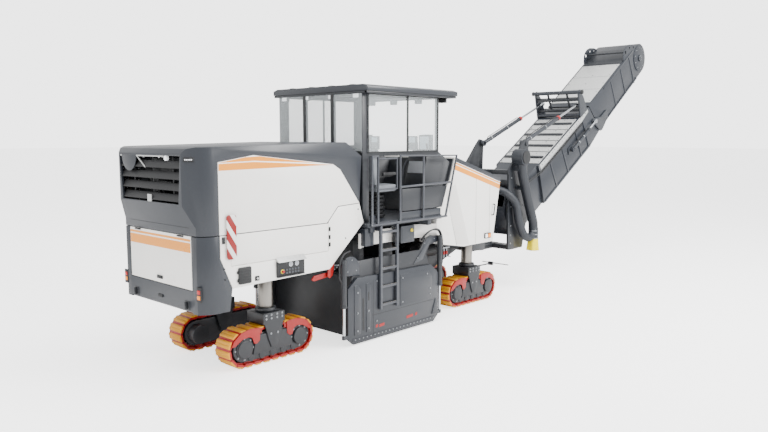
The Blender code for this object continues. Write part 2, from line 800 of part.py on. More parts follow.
def canopy():
    wall = box((PLATFORM_REAR, PLATFORM_REAR + 0.04), (-POST_Y, POST_Y), (PLATFORM_TOP + TOUCH, WALL_TOP))
    lumps = [wall]
    roof_foot = ROOF_BOTTOM - TOUCH
    for side in (RIGHT, LEFT):
        thick = on_side(side, POST_Y - 0.09, POST_Y)
        lumps.append(box((PLATFORM_REAR, POST_X[0] + 0.04), thick, (PLATFORM_TOP + TOUCH, roof_foot)))
        slim = on_side(side, POST_Y - 0.05, POST_Y)
        lumps.append(box((POST_X[1] - 0.025, POST_X[1] + 0.025), slim, (WALL_TOP, roof_foot)))
        length = (PLATFORM_REAR + 0.01, POST_X[1] + 0.02)
        lumps.append(box(length, slim, (WALL_TOP - 0.05, WALL_TOP + 0.02)))
        lumps.append(box((PLATFORM_REAR + 0.01, POST_X[1] + 0.02), slim, (roof_foot - 0.05, roof_foot)))
        bar = on_side(side, 0.31, 0.36)
        lumps.append(box((PLATFORM_REAR + 0.005, PLATFORM_REAR + 0.05), bar, (WALL_TOP - 0.05, roof_foot)))
    across = (PLATFORM_REAR + 0.005, PLATFORM_REAR + 0.06)
    lumps.append(box(across, (-POST_Y + 0.01, POST_Y - 0.01), (roof_foot - 0.05, roof_foot)))
    lumps.append(box(across, (-POST_Y + 0.01, POST_Y - 0.01), (WALL_TOP - 0.05, WALL_TOP + 0.12)))
    part("canopy_frame", "dark_frame", lumps)

    slab = [
        (-ROOF_HALF, ROOF_BOTTOM),
        (-ROOF_HALF, ROOF_TOP - 0.03),
        (-ROOF_HALF + 0.10, ROOF_TOP),
        (ROOF_HALF - 0.10, ROOF_TOP),
        (ROOF_HALF, ROOF_TOP - 0.03),
        (ROOF_HALF, ROOF_BOTTOM),
    ]
    part("canopy_roof", "slate_paint", [prism(slab, "X", PLATFORM_REAR - 0.02, ROOF_FRONT)])

    rear_x = PLATFORM_REAR - TOUCH
    pane_y = (-POST_Y + 0.01, POST_Y - 0.01)
    pane = box((rear_x - GLASS, rear_x), pane_y, (WALL_TOP + 0.01, ROOF_BOTTOM - 0.01))
    part("rear_window", "clear_glass", [pane])
    for side in (RIGHT, LEFT):
        glass_y = on_side(side, POST_Y + TOUCH, POST_Y + TOUCH + GLASS)
        pane = box((POST_X[0] + 0.01, POST_X[1]), glass_y, (WALL_TOP + 0.01, ROOF_BOTTOM - 0.01))
        part(f"{side_name(side)}_window", "clear_glass", [pane])


# ---------------------------------------------------------------- milling drum


def arch(radius_extra, low):
    """The drum's cover from the side: an arch over the drum, open below."""
    reach = DRUM_RADIUS + DRUM_CLEARANCE + radius_extra
    return [(DRUM_X - reach, low)] + arc((DRUM_X, DRUM_Z), reach, 180, 0, 10) + [(DRUM_X + reach, low)]


def drum_housing():
    shell = prism(arch(HOUSING_SHELL, 0.36), "Y", -HOUSING_OUTER, HOUSING_OUTER)
    inside = prism(arch(0.0, 0.20), "Y", -HOUSING_INNER, HOUSING_INNER)
    mouth = box((DRUM_X, 3.2), (-FEED_HALF - 0.03, FEED_HALF + 0.03), (0.2, 0.95))
    lumps = [shell]
    top = DRUM_Z + DRUM_RADIUS + DRUM_CLEARANCE + HOUSING_SHELL
    for x in (DRUM_X - 0.35, DRUM_X + 0.35):
        lumps.append(box((x - 0.12, x + 0.12), (-0.60, 0.60), (top - 0.22, FRAME_BOTTOM - TOUCH)))
    for side in (RIGHT, LEFT):
        wall = [
            (1.34, 0.30),
            (3.16, 0.30),
            (3.20, 0.95),
            (3.05, 1.30),
            (1.50, 1.30),
            (1.30, 1.05),
        ]
        lumps.append(prism(wall, "Y", *on_side(side, HOUSING_INNER, HOUSING_OUTER)))
        lumps += plate_cylinder_barrels(side)
    part("drum_housing", "dark_frame", lumps, [inside, mouth] + plate_cylinder_bores())


def cylinder_stations():
    """Where the side plate's two cylinders stand, and how high each barrel reaches."""
    return ((SIDE_REAR - CYLINDER_OFFSET, 1.36), (SIDE_FRONT + CYLINDER_OFFSET, 1.50))


def plate_cylinder_barrels(side):
    lumps = []
    foot = SIDE_BOTTOM + SIDE_LIFT + 0.20
    y = side * CYLINDER_Y
    wall = on_side(side, HOUSING_INNER + 0.002, HOUSING_OUTER - 0.002)
    (rear_x, rear_top), (front_x, front_top) = cylinder_stations()
    for x, top in cylinder_stations():
        lumps.append(rod((x, y, foot), (x, y, top), BARREL_RADIUS, 20))
    rear_arm = [(rear_x - 0.03, 1.16), (1.60, 1.05), (1.60, 1.28)]
    rear_arm += [(rear_x + 0.10, 1.34), (rear_x - 0.03, 1.34)]
    neck = [(2.70, 1.05), (3.02, 1.10), (3.18, 1.36), (front_x + 0.03, 1.40)]
    neck += [(front_x + 0.03, 1.49), (3.22, 1.52), (3.06, 1.48), (2.92, 1.28)]
    lumps.append(prism(rear_arm, "Y", *wall))
    lumps.append(prism(neck, "Y", *wall))
    boss = on_side(side, HOUSING_INNER + 0.01, CYLINDER_Y)
    lumps.append(box((rear_x - 0.028, rear_x + 0.028), boss, (1.18, 1.32)))
    lumps.append(box((front_x - 0.028, front_x + 0.028), boss, (1.40, 1.48)))
    return lumps


def plate_cylinder_bores():
    bores = []
    for side in (RIGHT, LEFT):
        for x, top in cylinder_stations():
            y = side * CYLINDER_Y
            bores.append(rod((x, y, 0.3), (x, y, top - 0.03), BARREL_BORE, 20))
    return bores


def milling_drum():
    pivot("drum_axis", (DRUM_X, 0, DRUM_Z))
    body = rod((DRUM_X, -DRUM_HALF, DRUM_Z), (DRUM_X, DRUM_HALF, DRUM_Z), DRUM_RADIUS, 36)
    part("milling_drum", "tool_steel", [body], on="drum_axis")


def scraper_blade():
    blade = [(1.44, 0.06), (1.49, 0.06), (1.53, 0.35), (1.53, 1.02), (1.47, 1.02), (1.47, 0.35)]
    half = HOUSING_INNER - BLADE_GAP
    part("scraper_blade", "dark_frame", [prism(blade, "Y", -half, half)])


def side_plates():
    for side in (RIGHT, LEFT):
        name = f"side_plate_{side_name(side)}"
        pivot(f"{name}_slide", ((SIDE_REAR + SIDE_FRONT) / 2, side * SIDE_OUTER, SIDE_BOTTOM))
        outline = [
            (SIDE_REAR, SIDE_BOTTOM + 0.10),
            (SIDE_REAR + 0.12, SIDE_BOTTOM),
            (SIDE_FRONT - 0.12, SIDE_BOTTOM),
            (SIDE_FRONT, SIDE_BOTTOM + 0.10),
            (SIDE_FRONT, 0.86),
            (SIDE_FRONT - 0.20, SIDE_TOP - 0.02),
            (SIDE_REAR + 0.20, SIDE_TOP),
            (SIDE_REAR, 0.90),
        ]
        plate_y = on_side(side, SIDE_INNER, SIDE_OUTER)
        lumps = [prism(outline, "Y", *plate_y)]
        y = side * CYLINDER_Y
        for (x, top), inward in zip(cylinder_stations(), (1, -1)):
            foot = sorted((x - inward * 0.028, x + inward * (CYLINDER_OFFSET + 0.02)))
            lug_y = on_side(side, SIDE_INNER + 0.002, SIDE_OUTER - 0.002)
            lumps.append(box(foot, lug_y, (SIDE_BOTTOM + 0.11, SIDE_BOTTOM + 0.17)))
            lumps.append(rod((x, y, SIDE_BOTTOM + 0.12), (x, y, SIDE_BOTTOM + 0.80), ROD_RADIUS, 16))
        part(name, "slate_paint", lumps, on=f"{name}_slide")


# ---------------------------------------------------------------- conveyors


def primary_conveyor():
    """The belt box that takes the millings from the drum up to the slewing hopper."""
    dx, dz = FEED_END[0] - FEED_START[0], FEED_END[1] - FEED_START[1]
    length = math.hypot(dx, dz)
    nx, nz = -dz / length * FEED_DEPTH / 2, dx / length * FEED_DEPTH / 2
    low_end, high_end = FEED_START, FEED_END
    tilt = math.degrees(math.atan2(dz, dx))
    nose = arc(high_end, FEED_DEPTH / 2, tilt - 90, tilt + 90, 8)
    foot = [(low_end[0] + nx, low_end[1] + nz), (low_end[0] - nx, low_end[1] - nz)]
    box_solid = prism(nose + foot, "Y", -FEED_HALF, FEED_HALF)
    plan = [(2.5, FEED_HALF), (5.45, FEED_HALF), (5.78, FEED_HEAD_HALF), (6.2, FEED_HEAD_HALF)]
    plan += [(x, -y) for x, y in reversed(plan)]
    combine(box_solid, "INTERSECT", [prism(plan, "Z", 0.0, 3.0)])
    hangers = []
    for side in (RIGHT, LEFT):
        y = on_side(side, FEED_HALF - 0.02, RAIL_OUTER - 0.03)
        hangers.append(box((4.30, 4.38), y, (0.95, FRAME_BOTTOM - TOUCH)))
    part("primary_conveyor", "dark_frame", [box_solid] + hangers)


def slew_bracket():
    """The two arms at the frame's nose that hold the slewing conveyor between pins."""
    arm = on_side(LEFT, -0.30, 0.30)
    lean = (FRONT_TOP_FRONT[0] - FRONT_NOSE_X) / (FRONT_TOP_FRONT[1] - FRONT_BOTTOM)
    face = FRONT_TOP_FRONT[0] + 0.006
    lumps = [
        box((5.05, SLEW_X + 0.13), arm, (0.96, 1.08)),
        box((face - 0.2, SLEW_X + 0.13), arm, (2.26, 2.40)),
        rod((SLEW_X, 0, 0.955), (SLEW_X, 0, 1.085), 0.13, 24),
        rod((SLEW_X, 0, 2.255), (SLEW_X, 0, 2.405), 0.13, 24),
    ]
    lumps.append(box((5.05, 5.50), (-0.58, 0.58), (0.96, 1.06)))
    for side in (RIGHT, LEFT):
        inner = on_side(side, RAIL_INNER, RAIL_OUTER)
        lumps.append(box((5.05, 5.22), inner, (0.96, FRAME_BOTTOM - TOUCH)))
        lumps.append(box((FRAME_FRONT + TOUCH, 5.50), inner, (0.96, 2.40)))
    lumps.append(box((5.42, 5.50), (-0.57, 0.57), (2.27, 2.39)))
    edge = [(FRONT_NOSE_X + 0.004 + (z - FRONT_BOTTOM) * lean, z) for z in (NOSE_GAP_TOP - 0.005, 2.6)]
    nose = prism([(4.6, edge[0][1])] + edge + [(4.6, 2.6)], "Y", -1.2, 1.2)
    part("slew_bracket", "dark_frame", lumps, [nose])


def slew_frame():
    pivot("slew", (SLEW_X, 0, 0))
    lumps = [
        rod((SLEW_X, 0, 0.83), (SLEW_X, 0, 0.945), 0.16, 24),
        rod((SLEW_X, 0, 2.415), (SLEW_X, 0, 2.53), 0.16, 24),
        box((SLEW_X, 6.62), (-0.16, 0.16), (0.84, 0.94)),
        box((6.38, 6.62), (-MAST_OUTER, MAST_OUTER), (0.845, 0.935)),
        box((SLEW_X, 6.46), (-0.16, 0.16), (2.42, 2.52)),
        box((6.28, 6.46), (-MAST_OUTER, MAST_OUTER), (2.425, 2.515)),
    ]
    for side in (RIGHT, LEFT):
        mast = [
            (6.32, 0.85),
            (6.86, 0.85),
            (7.02, 1.45),
            (7.02, 2.60),
            (EYE_X + 0.09, EYE_Z + 0.06),
            (EYE_X - 0.05, EYE_Z + 0.09),
            (EYE_X - 0.17, EYE_Z - 0.02),
            (6.30, 2.52),
            (6.30, 1.60),
        ]
        lumps.append(prism(mast, "Y", *on_side(side, MAST_INNER, MAST_OUTER)))
        pin = on_side(side, EYE_Y + 0.048, MAST_INNER + 0.01)
        lumps.append(rod((EYE_X, pin[0], EYE_Z), (EYE_X, pin[1], EYE_Z), 0.03, 12))
        foot_pin = on_side(side, CONVEYOR_HALF + 0.004, MAST_INNER + 0.01)
        lumps.append(rod((LIFT_X, foot_pin[0], LIFT_Z), (LIFT_X, foot_pin[1], LIFT_Z), 0.06, 16))
    part("slew_frame", "dark_frame", lumps, on="slew")


def dust_duct():
    """The extraction fan on the slewing frame and its duct down to the conveyor's foot."""
    y = -(MAST_OUTER + 0.16)
    route = [(6.50, y, 2.70), (6.56, y, 2.45), (6.72, y, 2.05)]
    route += [(6.90, y, 1.65), (7.02, y, 1.38), (7.04, y, 1.20)]
    lumps = [
        pipe(route, 0.10, resolution=4),
        rod((7.04, y, 1.26), (7.04, y, 0.78), 0.105, 20),
        rod((6.50, y + 0.13, 2.78), (6.50, y - 0.12, 2.78), 0.17, 24),
        box((6.60, 6.72), on_side(RIGHT, MAST_OUTER + TOUCH, -y), (2.10, 2.18)),
        box((6.44, 6.54), on_side(RIGHT, MAST_OUTER + TOUCH, -y), (2.50, 2.62)),
    ]
    part("dust_duct", "black_plastic", lumps, on="slew")


def fold_eye():
    """The folding lever's pin: square over the fold's axis when half folded."""
    angle = radians(90 + FOLD_RANGE / 2)
    return (FOLD_U + FOLD_LEVER * cos(angle), FOLD_N + FOLD_LEVER * sin(angle))


def lower_outline():
    """The discharge conveyor's lower half from the side, hopper and all."""
    local = [
        (-0.36, -0.28),
        (-0.20, LOWER_BOTTOM_N + 0.02),
        (0.10, LOWER_BOTTOM_N),
        (FOLD_U - 0.55, LOWER_BOTTOM_N),
        (FOLD_U - 0.02, FOLD_N - 0.02),
        (FOLD_U - 0.26, LOWER_TOP_N),
        (0.62, LOWER_TOP_N),
        (0.40, 0.62),
        (-0.02, 0.60),
        (-0.36, 0.30),
    ]
    return [along_belt(u, n) for u, n in local]


def upper_outline():
    head = along_belt(NOSE_U, NOSE_N)
    nose = arc(head, NOSE_RADIUS, -60, 120, 12)
    local = [
        (FOLD_U - 0.24, LOWER_TOP_N + 0.02),
        (FOLD_U + 0.01, FOLD_N - 0.01),
        (FOLD_U + 0.10, FOLD_N - 0.01),
    ]
    return [along_belt(u, n) for u, n in local] + nose


def channel_prism(u, n, half):
    """A straight run of the channel that the belt goes through, to cut from a conveyor."""
    corners = [(u[0], n[0]), (u[1], n[0]), (u[1], n[1]), (u[0], n[1])]
    return prism([along_belt(*corner) for corner in corners], "Y", -half, half)


def head_channel():
    """The hollow of the folding half, open where it meets the lower half."""
    nose = arc(along_belt(NOSE_U, NOSE_N), NOSE_RADIUS - CONVEYOR_WALL, -60, 120, 12)
    low, high = FOLD_N - 0.01 + CONVEYOR_WALL, LOWER_TOP_N + 0.02 - CONVEYOR_WALL
    start = FOLD_U - 0.5
    outline = [along_belt(start, high), along_belt(start, low)] + nose
    half = HEAD_HALF - CONVEYOR_WALL
    return prism(outline, "Y", -half, half)


def discharge_conveyor():
    pivot("lift", (LIFT_X, 0, LIFT_Z), "slew")
    trough = prism(lower_outline(), "Y", -CONVEYOR_HALF, CONVEYOR_HALF)
    wide = [along_belt(u, n) for u, n in ((1.0, LOWER_BOTTOM_N), (FOLD_U - 0.55, LOWER_BOTTOM_N))]
    wide += [along_belt(u, n) for u, n in ((FOLD_U - 0.02, FOLD_N - 0.02), (FOLD_U - 0.26, LOWER_TOP_N))]
    wide += [along_belt(1.2, LOWER_TOP_N)]
    cheeks = prism(wide, "Y", -HEAD_HALF, HEAD_HALF)
    mouth = [along_belt(u, n) for u, n in ((-0.26, 0.9), (-0.26, 0.16), (0.30, 0.16), (0.44, 0.9))]
    hopper = prism(mouth, "Y", -HOPPER_HALF, HOPPER_HALF)
    floor, lid = LOWER_BOTTOM_N + CONVEYOR_WALL, LOWER_TOP_N - CONVEYOR_WALL
    channel = channel_prism((-0.10, FOLD_U + 0.3), (floor + 0.02, lid), HOPPER_HALF)
    wide_channel = channel_prism((1.28, FOLD_U + 0.3), (floor, lid), HEAD_HALF - CONVEYOR_WALL)
    eye = CONVEYOR_HALF + 0.1
    bore = rod((LIFT_X, -eye, LIFT_Z), (LIFT_X, -CONVEYOR_HALF + 0.03, LIFT_Z), 0.064, 16)
    bore_left = rod((LIFT_X, eye, LIFT_Z), (LIFT_X, CONVEYOR_HALF - 0.03, LIFT_Z), 0.064, 16)
    lumps = [trough, cheeks]
    x, z = along_belt(FOLD_BARREL_U, FOLD_BARREL_N)
    for side in (RIGHT, LEFT):
        pin = on_side(side, HEAD_HALF - 0.01, FOLD_RAM_Y + 0.03)
        lumps.append(rod((x, pin[0], z), (x, pin[1], z), 0.028, 12))
    cuts = [hopper, channel, wide_channel, bore, bore_left]
    part("conveyor_lower", "slate_paint", lumps, cuts, on="lift")

    pivot("fold", (along_belt(FOLD_U, FOLD_N)[0], 0, along_belt(FOLD_U, FOLD_N)[1]), "lift")
    lumps = [prism(upper_outline(), "Y", -HEAD_HALF, HEAD_HALF)]
    eye_u, eye_n = fold_eye()
    lever = [(eye_u - 0.05, eye_n + 0.02), (eye_u + 0.02, eye_n + 0.06), (4.20, -0.02), (4.55, -0.02)]
    lever += [(4.55, -0.22), (FOLD_U + 0.05, FOLD_N - 0.05), (FOLD_U - 0.04, FOLD_N - 0.03)]
    x, z = along_belt(eye_u, eye_n)
    for side in (RIGHT, LEFT):
        plate = on_side(side, HEAD_HALF + 0.006, HEAD_HALF + 0.034)
        boss = on_side(side, HEAD_HALF - 0.01, HEAD_HALF + 0.02)
        lumps.append(prism([along_belt(u, n) for u, n in lever], "Y", *plate))
        root = [along_belt(u, n) for u, n in ((4.28, -0.04), (4.50, -0.04), (4.50, -0.20), (4.28, -0.20))]
        lumps.append(prism(root, "Y", *boss))
        pin = on_side(side, HEAD_HALF + 0.02, FOLD_RAM_Y - PIN_STUB)
        lumps.append(rod((x, pin[0], z), (x, pin[1], z), 0.026, 12))
    part("conveyor_upper", "slate_paint", lumps, [head_channel()], on="fold")


def goalpost():
    """The frame over the fold that the lift cylinders pull on."""
    foot_n = LOWER_TOP_N + TOUCH
    lumps = []
    for side in (RIGHT, LEFT):
        post = ((3.30, foot_n), (3.68, foot_n), (3.66, 0.80), (3.58, 1.06), (3.48, 1.06), (3.40, 0.80))
        lumps.append(prism([along_belt(u, n) for u, n in post], "Y", *on_side(side, 0.555, 0.585)))
        pin = on_side(side, EYE_Y + 0.045, 0.57)
        x, z = along_belt(ROD_EYE_U, ROD_EYE_N)
        lumps.append(rod((x, pin[0], z), (x, pin[1], z), 0.028, 12))
    x, z = along_belt(3.53, 1.02)
    lumps.append(rod((x, -0.66, z), (x, 0.66, z), 0.045, 16))
    x, z = along_belt(3.36, foot_n + 0.045)
    lumps.append(rod((x, -0.57, z), (x, 0.57, z), 0.038, 12))
    part("goalpost", "slate_paint", lumps, on="lift")


def ram(kind, side, start, end, split, closing, radii, carrier, y):
    """A hydraulic cylinder: its barrel pinned at the start, its rod able to go in by closing."""
    name = side_name(side)
    barrel_radius, rod_radius = radii
    start_point, end_point = Vector((start[0], y, start[1])), Vector((end[0], y, end[1]))
    along = (end_point - start_point).normalized()
    mouth = start_point + along * split
    barrel_pin, rod_slide = f"{kind}_barrel_{name}_pin", f"{kind}_rod_{name}_slide"
    pivot(barrel_pin, start_point, carrier)
    pivot(rod_slide, start_point, barrel_pin)
    across = Vector((0, 1, 0))
    tube = rod(start_point + along * barrel_radius, mouth, barrel_radius, 20)
    eye_half = across * barrel_radius * 0.8
    eye = rod(start_point - eye_half, start_point + eye_half, barrel_radius * 1.45, 18)
    bottom = barrel_radius + 0.02
    bore = rod(start_point + along * bottom, mouth + along * 0.1, rod_radius + 0.005, 16)
    hole = rod(start_point - across * 0.2, start_point + across * 0.2, 0.034, 12)
    part(f"{kind}_barrel_{name}", "slate_paint", [tube, eye], [bore, hole], on=barrel_pin)
    inner = start_point + along * (bottom + 0.02 + closing)
    shaft = rod(inner, end_point - along * 0.035, rod_radius, 16)
    ring_half = across * rod_radius * 1.2
    ring = rod(end_point - ring_half, end_point + ring_half, 0.050, 18)
    part(f"{kind}_rod_{name}", "chrome_rod", [shaft, ring], on=rod_slide)


def rams():
    """The cylinders that lift the conveyor and those that fold its head down."""
    rod_eye = along_belt(ROD_EYE_U, ROD_EYE_N)
    barrel_eye, lever_eye = along_belt(FOLD_BARREL_U, FOLD_BARREL_N), along_belt(*fold_eye())
    for side in (RIGHT, LEFT):
        lift_y, fold_y = side * EYE_Y, side * FOLD_RAM_Y
        ram("lift", side, (EYE_X, EYE_Z), rod_eye, 1.62, LIFT_CLOSING, (0.045, 0.024), "slew", lift_y)
        ram("fold", side, barrel_eye, lever_eye, 0.92, 0.0, (0.038, 0.022), "lift", fold_y)


def main():
    for obj in list(bpy.data.objects):
        bpy.data.objects.remove(obj)
    pivot("machine", (0, 0, 0), parent=None)
    tracks()
    main_frame()
    engine_and_cooler()
    cooling_fan()
    rear_frame()
    rear_flap()
    hood()
    side_panels()
    front_body()
    operator_platform()
    dashboard()
    seats()
    railings_and_ladders()
    canopy()
    drum_housing()
    milling_drum()
    scraper_blade()
    side_plates()
    primary_conveyor()
    slew_bracket()
    slew_frame()
    dust_duct()
    discharge_conveyor()
    goalpost()
    rams()


main()
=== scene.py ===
import contextlib
import json
import math
from math import cos, pi, radians, sin

import bpy
from mathutils import Matrix, Vector

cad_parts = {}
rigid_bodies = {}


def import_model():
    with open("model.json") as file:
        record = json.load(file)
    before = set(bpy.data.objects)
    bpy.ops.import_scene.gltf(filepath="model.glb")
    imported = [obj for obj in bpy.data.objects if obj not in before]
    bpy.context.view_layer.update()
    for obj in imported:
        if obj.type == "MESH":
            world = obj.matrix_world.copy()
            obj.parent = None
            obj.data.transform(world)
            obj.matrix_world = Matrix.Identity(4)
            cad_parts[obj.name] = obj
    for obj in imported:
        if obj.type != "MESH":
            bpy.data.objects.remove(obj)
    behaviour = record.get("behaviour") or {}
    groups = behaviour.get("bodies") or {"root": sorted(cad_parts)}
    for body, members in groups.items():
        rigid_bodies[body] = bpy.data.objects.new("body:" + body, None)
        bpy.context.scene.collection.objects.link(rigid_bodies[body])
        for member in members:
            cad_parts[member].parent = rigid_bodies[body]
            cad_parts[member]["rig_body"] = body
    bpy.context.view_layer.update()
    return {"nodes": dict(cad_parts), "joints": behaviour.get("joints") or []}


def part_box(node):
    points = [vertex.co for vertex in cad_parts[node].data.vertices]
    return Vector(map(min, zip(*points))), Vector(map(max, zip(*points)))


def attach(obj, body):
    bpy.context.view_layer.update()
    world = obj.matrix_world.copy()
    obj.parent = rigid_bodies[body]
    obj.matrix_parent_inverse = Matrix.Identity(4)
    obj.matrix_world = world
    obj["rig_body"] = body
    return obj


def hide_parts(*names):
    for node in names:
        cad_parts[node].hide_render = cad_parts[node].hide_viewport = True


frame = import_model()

bl_info = {
    "name": "Cold planer looks",
    "version": (1, 0, 0),
    "blender": (4, 5, 0),
    "location": "3D View > Sidebar > Planer",
    "description": "Dresses a packed cold planer in its finished panels, paint and fittings",
    "category": "Object",
}

RIGHT, LEFT = -1, 1
SIDES = (RIGHT, "right"), (LEFT, "left")
ENDS = "rear", "front"


def low(node, axis):
    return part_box(node)[0]["xyz".index(axis)]


def high(node, axis):
    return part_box(node)[1]["xyz".index(axis)]


def middle(node, axis):
    return (low(node, axis) + high(node, axis)) / 2


# x is measured forwards from the middle of the rear tracks.
X0 = middle("track_rear_right", "x")
WHEELBASE = middle("track_front_right", "x") - X0
TRACK_Y = middle("track_rear_left", "y")
BODY_HALF = high("service_door_left", "y")
PLATE_OUT = high("side_plate_left", "y")
# Faces and lines that several pieces stand on, in metres: along the machine, or out from its middle.
REAR_FACE, GUARD_X = -1.3, -1.404
FRONT_FACE, HOUSING_SHEET = 1.0095, (1.05, 1.0562)
RAIL_Y, ROD_Y = 1.105, 1.085
ROD_REAR_X, ROD_FRONT_X = 1.105, 3.415
BELT_SIDE, NOSE_U, NOSE_N, NOSE_RADIUS = 0.559, 6.88, 0.22, 0.34
DUCT_X, DUCT_Y = 7.04, -0.76
JOINTS = {joint["name"]: joint for joint in frame["joints"]}
LIFT_PIN = Vector(JOINTS["conveyor_lift"]["pos_m"])
CONVEYOR_PITCH = radians(31)


def at(x, y, z):
    """A point of the machine: x forwards from the middle of the rear tracks, y to the left, z up."""
    return Vector((X0 + x, y, z))


def belt(u, y, n):
    """A point of the discharge conveyor: u up along it and n square to it, from its lift pin."""
    return LIFT_PIN + Vector((u * cos(CONVEYOR_PITCH) - n * sin(CONVEYOR_PITCH), y,
                              u * sin(CONVEYOR_PITCH) + n * cos(CONVEYOR_PITCH)))


# ---- settings


def length(name, default, description):
    return bpy.props.FloatProperty(name=name, default=default, min=0.0, unit="LENGTH",
            description=description)


def colour(name, default, description):
    return bpy.props.FloatVectorProperty(name=name, default=linear(default), subtype="COLOR", size=4,
            min=0.0, max=1.0, description=description)


def linear(hex_value):
    """An sRGB hex colour as linear red, green, blue and 1."""
    channels = [(hex_value >> shift & 255) / 255 for shift in (16, 8, 0)]
    return tuple((c / 12.92 if c <= 0.04045 else ((c + 0.055) / 1.055) ** 2.4 for c in channels)) + (1.0,)


class PlanerColours(bpy.types.PropertyGroup):
    slate: colour("Slate", 0x24282F, "Frame, hood and conveyor paint")
    white: colour("White", 0xFAF7F2, "Body panel paint")
    orange: colour("Orange", 0xEE9200, "Stripes along the panels")
    red: colour("Red", 0x980501, "Track guards, chain and levers")
    yellow: colour("Yellow", 0xC98A06, "Polyurethane track pads")


class PlanerSizes(bpy.types.PropertyGroup):
    edge: length("Edge", 0.005, "Rounding of a folded sheet's edges")
    bolt: length("Bolt", 0.012, "Radius of a common bolt head")
    decal: length("Decal", 0.0015, "How far a stripe stands off its panel")
    tube: length("Handrail tube", 0.02, "Radius of the handrail tubes")
    pads: bpy.props.IntProperty(name="Pads", default=24, min=8, description="Shoes on each track")


def sizes():
    return bpy.context.scene.planer_sizes


def colours():
    return bpy.context.scene.planer_colours


# ---- modelling


def deselect():
    """Object mode with nothing selected."""
    if bpy.context.mode != "OBJECT":
        bpy.ops.object.mode_set(mode="OBJECT")
    bpy.ops.object.select_all(action="DESELECT")


def only(obj):
    """Selects one object and makes it the active one."""
    deselect()
    obj.select_set(True)
    bpy.context.view_layer.objects.active = obj


@contextlib.contextmanager
def editing():
    """Edit mode with the whole mesh selected."""
    bpy.ops.object.mode_set(mode="EDIT")
    bpy.ops.mesh.select_all(action="SELECT")
    yield
    bpy.ops.object.mode_set(mode="OBJECT")


def settle(obj):
    """Puts an object's place into its mesh."""
    only(obj)
    bpy.ops.object.transform_apply(location=True, rotation=True, scale=True)
    return obj


def rounded(obj, width=None, steps=2, angle=35):
    """Rounds an object's sharp edges with an applied bevel."""
    width = sizes().edge if width is None else width
    if width > 0:
        only(obj)
        bevel = obj.modifiers.new("edge", "BEVEL")
        bevel.width = width
        bevel.segments = steps
        bevel.limit_method = "ANGLE"
        bevel.angle_limit = radians(angle)
        bpy.ops.object.modifier_apply(modifier=bevel.name)
    return obj


def block(start, end, edge=None, steps=2):
    """A block between two corners, its edges rounded."""
    deselect()
    start, end = Vector(start), Vector(end)
    size = [abs(b - a) for a, b in zip(start, end)]
    bpy.ops.mesh.primitive_cube_add(size=1, location=(start + end) / 2, scale=size)
    obj = settle(bpy.context.object)
    most = min(size) * 0.45
    return rounded(obj, min(sizes().edge if edge is None else edge, most), steps)


def drum(start, end, radius, sides=24, edge=0.003, steps=2, far_radius=None):
    """A round bar or disc between two points, with its rims rounded."""
    deselect()
    start, end = Vector(start), Vector(end)
    along = end - start
    bpy.ops.mesh.primitive_cone_add(vertices=sides, radius1=radius, depth=along.length,
            radius2=radius if far_radius is None else far_radius, location=(start + end) / 2,
            rotation=along.to_track_quat("Z", "Y").to_euler())
    obj = settle(bpy.context.object)
    return rounded(obj, min(edge, along.length * 0.4, radius * 0.4), steps, angle=50)


def plate(outline, axis, start, end, edge=None, steps=2):
    """A flat outline in the plane square to an axis, drawn out along it from start to end."""
    place = {"x": lambda a, b, t: (t, a, b), "y": lambda a, b, t: (a, t, b), "z": lambda a, b,
             t: (a, b, t)}[axis]
    start, end = sorted((start, end))
    deselect()
    bpy.ops.mesh.primitive_circle_add(vertices=len(outline), fill_type="NGON")
    obj = bpy.context.object
    for vertex, (a, b) in zip(obj.data.vertices, outline):
        vertex.co = place(a, b, start)
    with editing():
        bpy.ops.mesh.extrude_region_move(TRANSFORM_OT_translate={"value": place(0, 0, end - start)})
        bpy.ops.mesh.select_all(action="SELECT")
        bpy.ops.mesh.normals_make_consistent(inside=False)
    return rounded(obj, min(sizes().edge if edge is None else edge, (end - start) * 0.45), steps)


def side_plate_of(side, outline, inner, outer, edge=None):
    """A plate in the machine's own x and z, standing on one flank between two distances from its middle."""
    return plate([(X0 + x, z) for x, z in outline], "y", side * inner, side * outer, edge)


def rect(across, up):
    """A rectangle's corners, from its extent both ways."""
    return [(across[0], up[0]), (across[1], up[0]), (across[1], up[1]), (across[0], up[1])]


def round_box(x, z, radius, steps=4):
    """A rectangle with rounded corners, as points."""
    points = []
    for cx, cz, start in ((x[1] - radius, z[1] - radius, 0), (x[0] + radius, z[1] - radius, 90),
                          (x[0] + radius, z[0] + radius, 180), (x[1] - radius, z[0] + radius, 270)):
        for i in range(steps + 1):
            angle = radians(start + 90 * i / steps)
            points.append((cx + radius * cos(angle), cz + radius * sin(angle)))
    return points


def flank_box(side, x, z, radius, inner, outer, edge=None):
    """A plate with rounded corners standing on one flank."""
    return side_plate_of(side, round_box(x, z, radius), inner, outer, edge)


def stud(side, x, z, inner, outer, *shape):
    """A round bar or disc square to one flank, between two distances from the machine's middle."""
    return drum(at(x, side * inner, z), at(x, side * outer, z), *shape)


def belt_plate(outline, start_y, end_y, edge=None):
    """A plate drawn in the conveyor's own u and n."""
    points = [belt(u, 0, n) for u, n in outline]
    return plate([(p.x, p.z) for p in points], "y", start_y, end_y, edge)


def bent(points, radius, steps=6):
    """The points of a line with each inner corner turned into an arc."""
    points = [Vector(p) for p in points]
    line = [points[0]]
    for before, here, after in zip(points, points[1:], points[2:]):
        a, b = before - here, after - here
        reach = min(radius, a.length * 0.45, b.length * 0.45)
        a, b = here + a.normalized() * reach, here + b.normalized() * reach
        for i in range(steps + 1):
            t = i / steps
            line.append(a * (1 - t) ** 2 + here * 2 * t * (1 - t) + b * t * t)
    return line + [points[-1]]


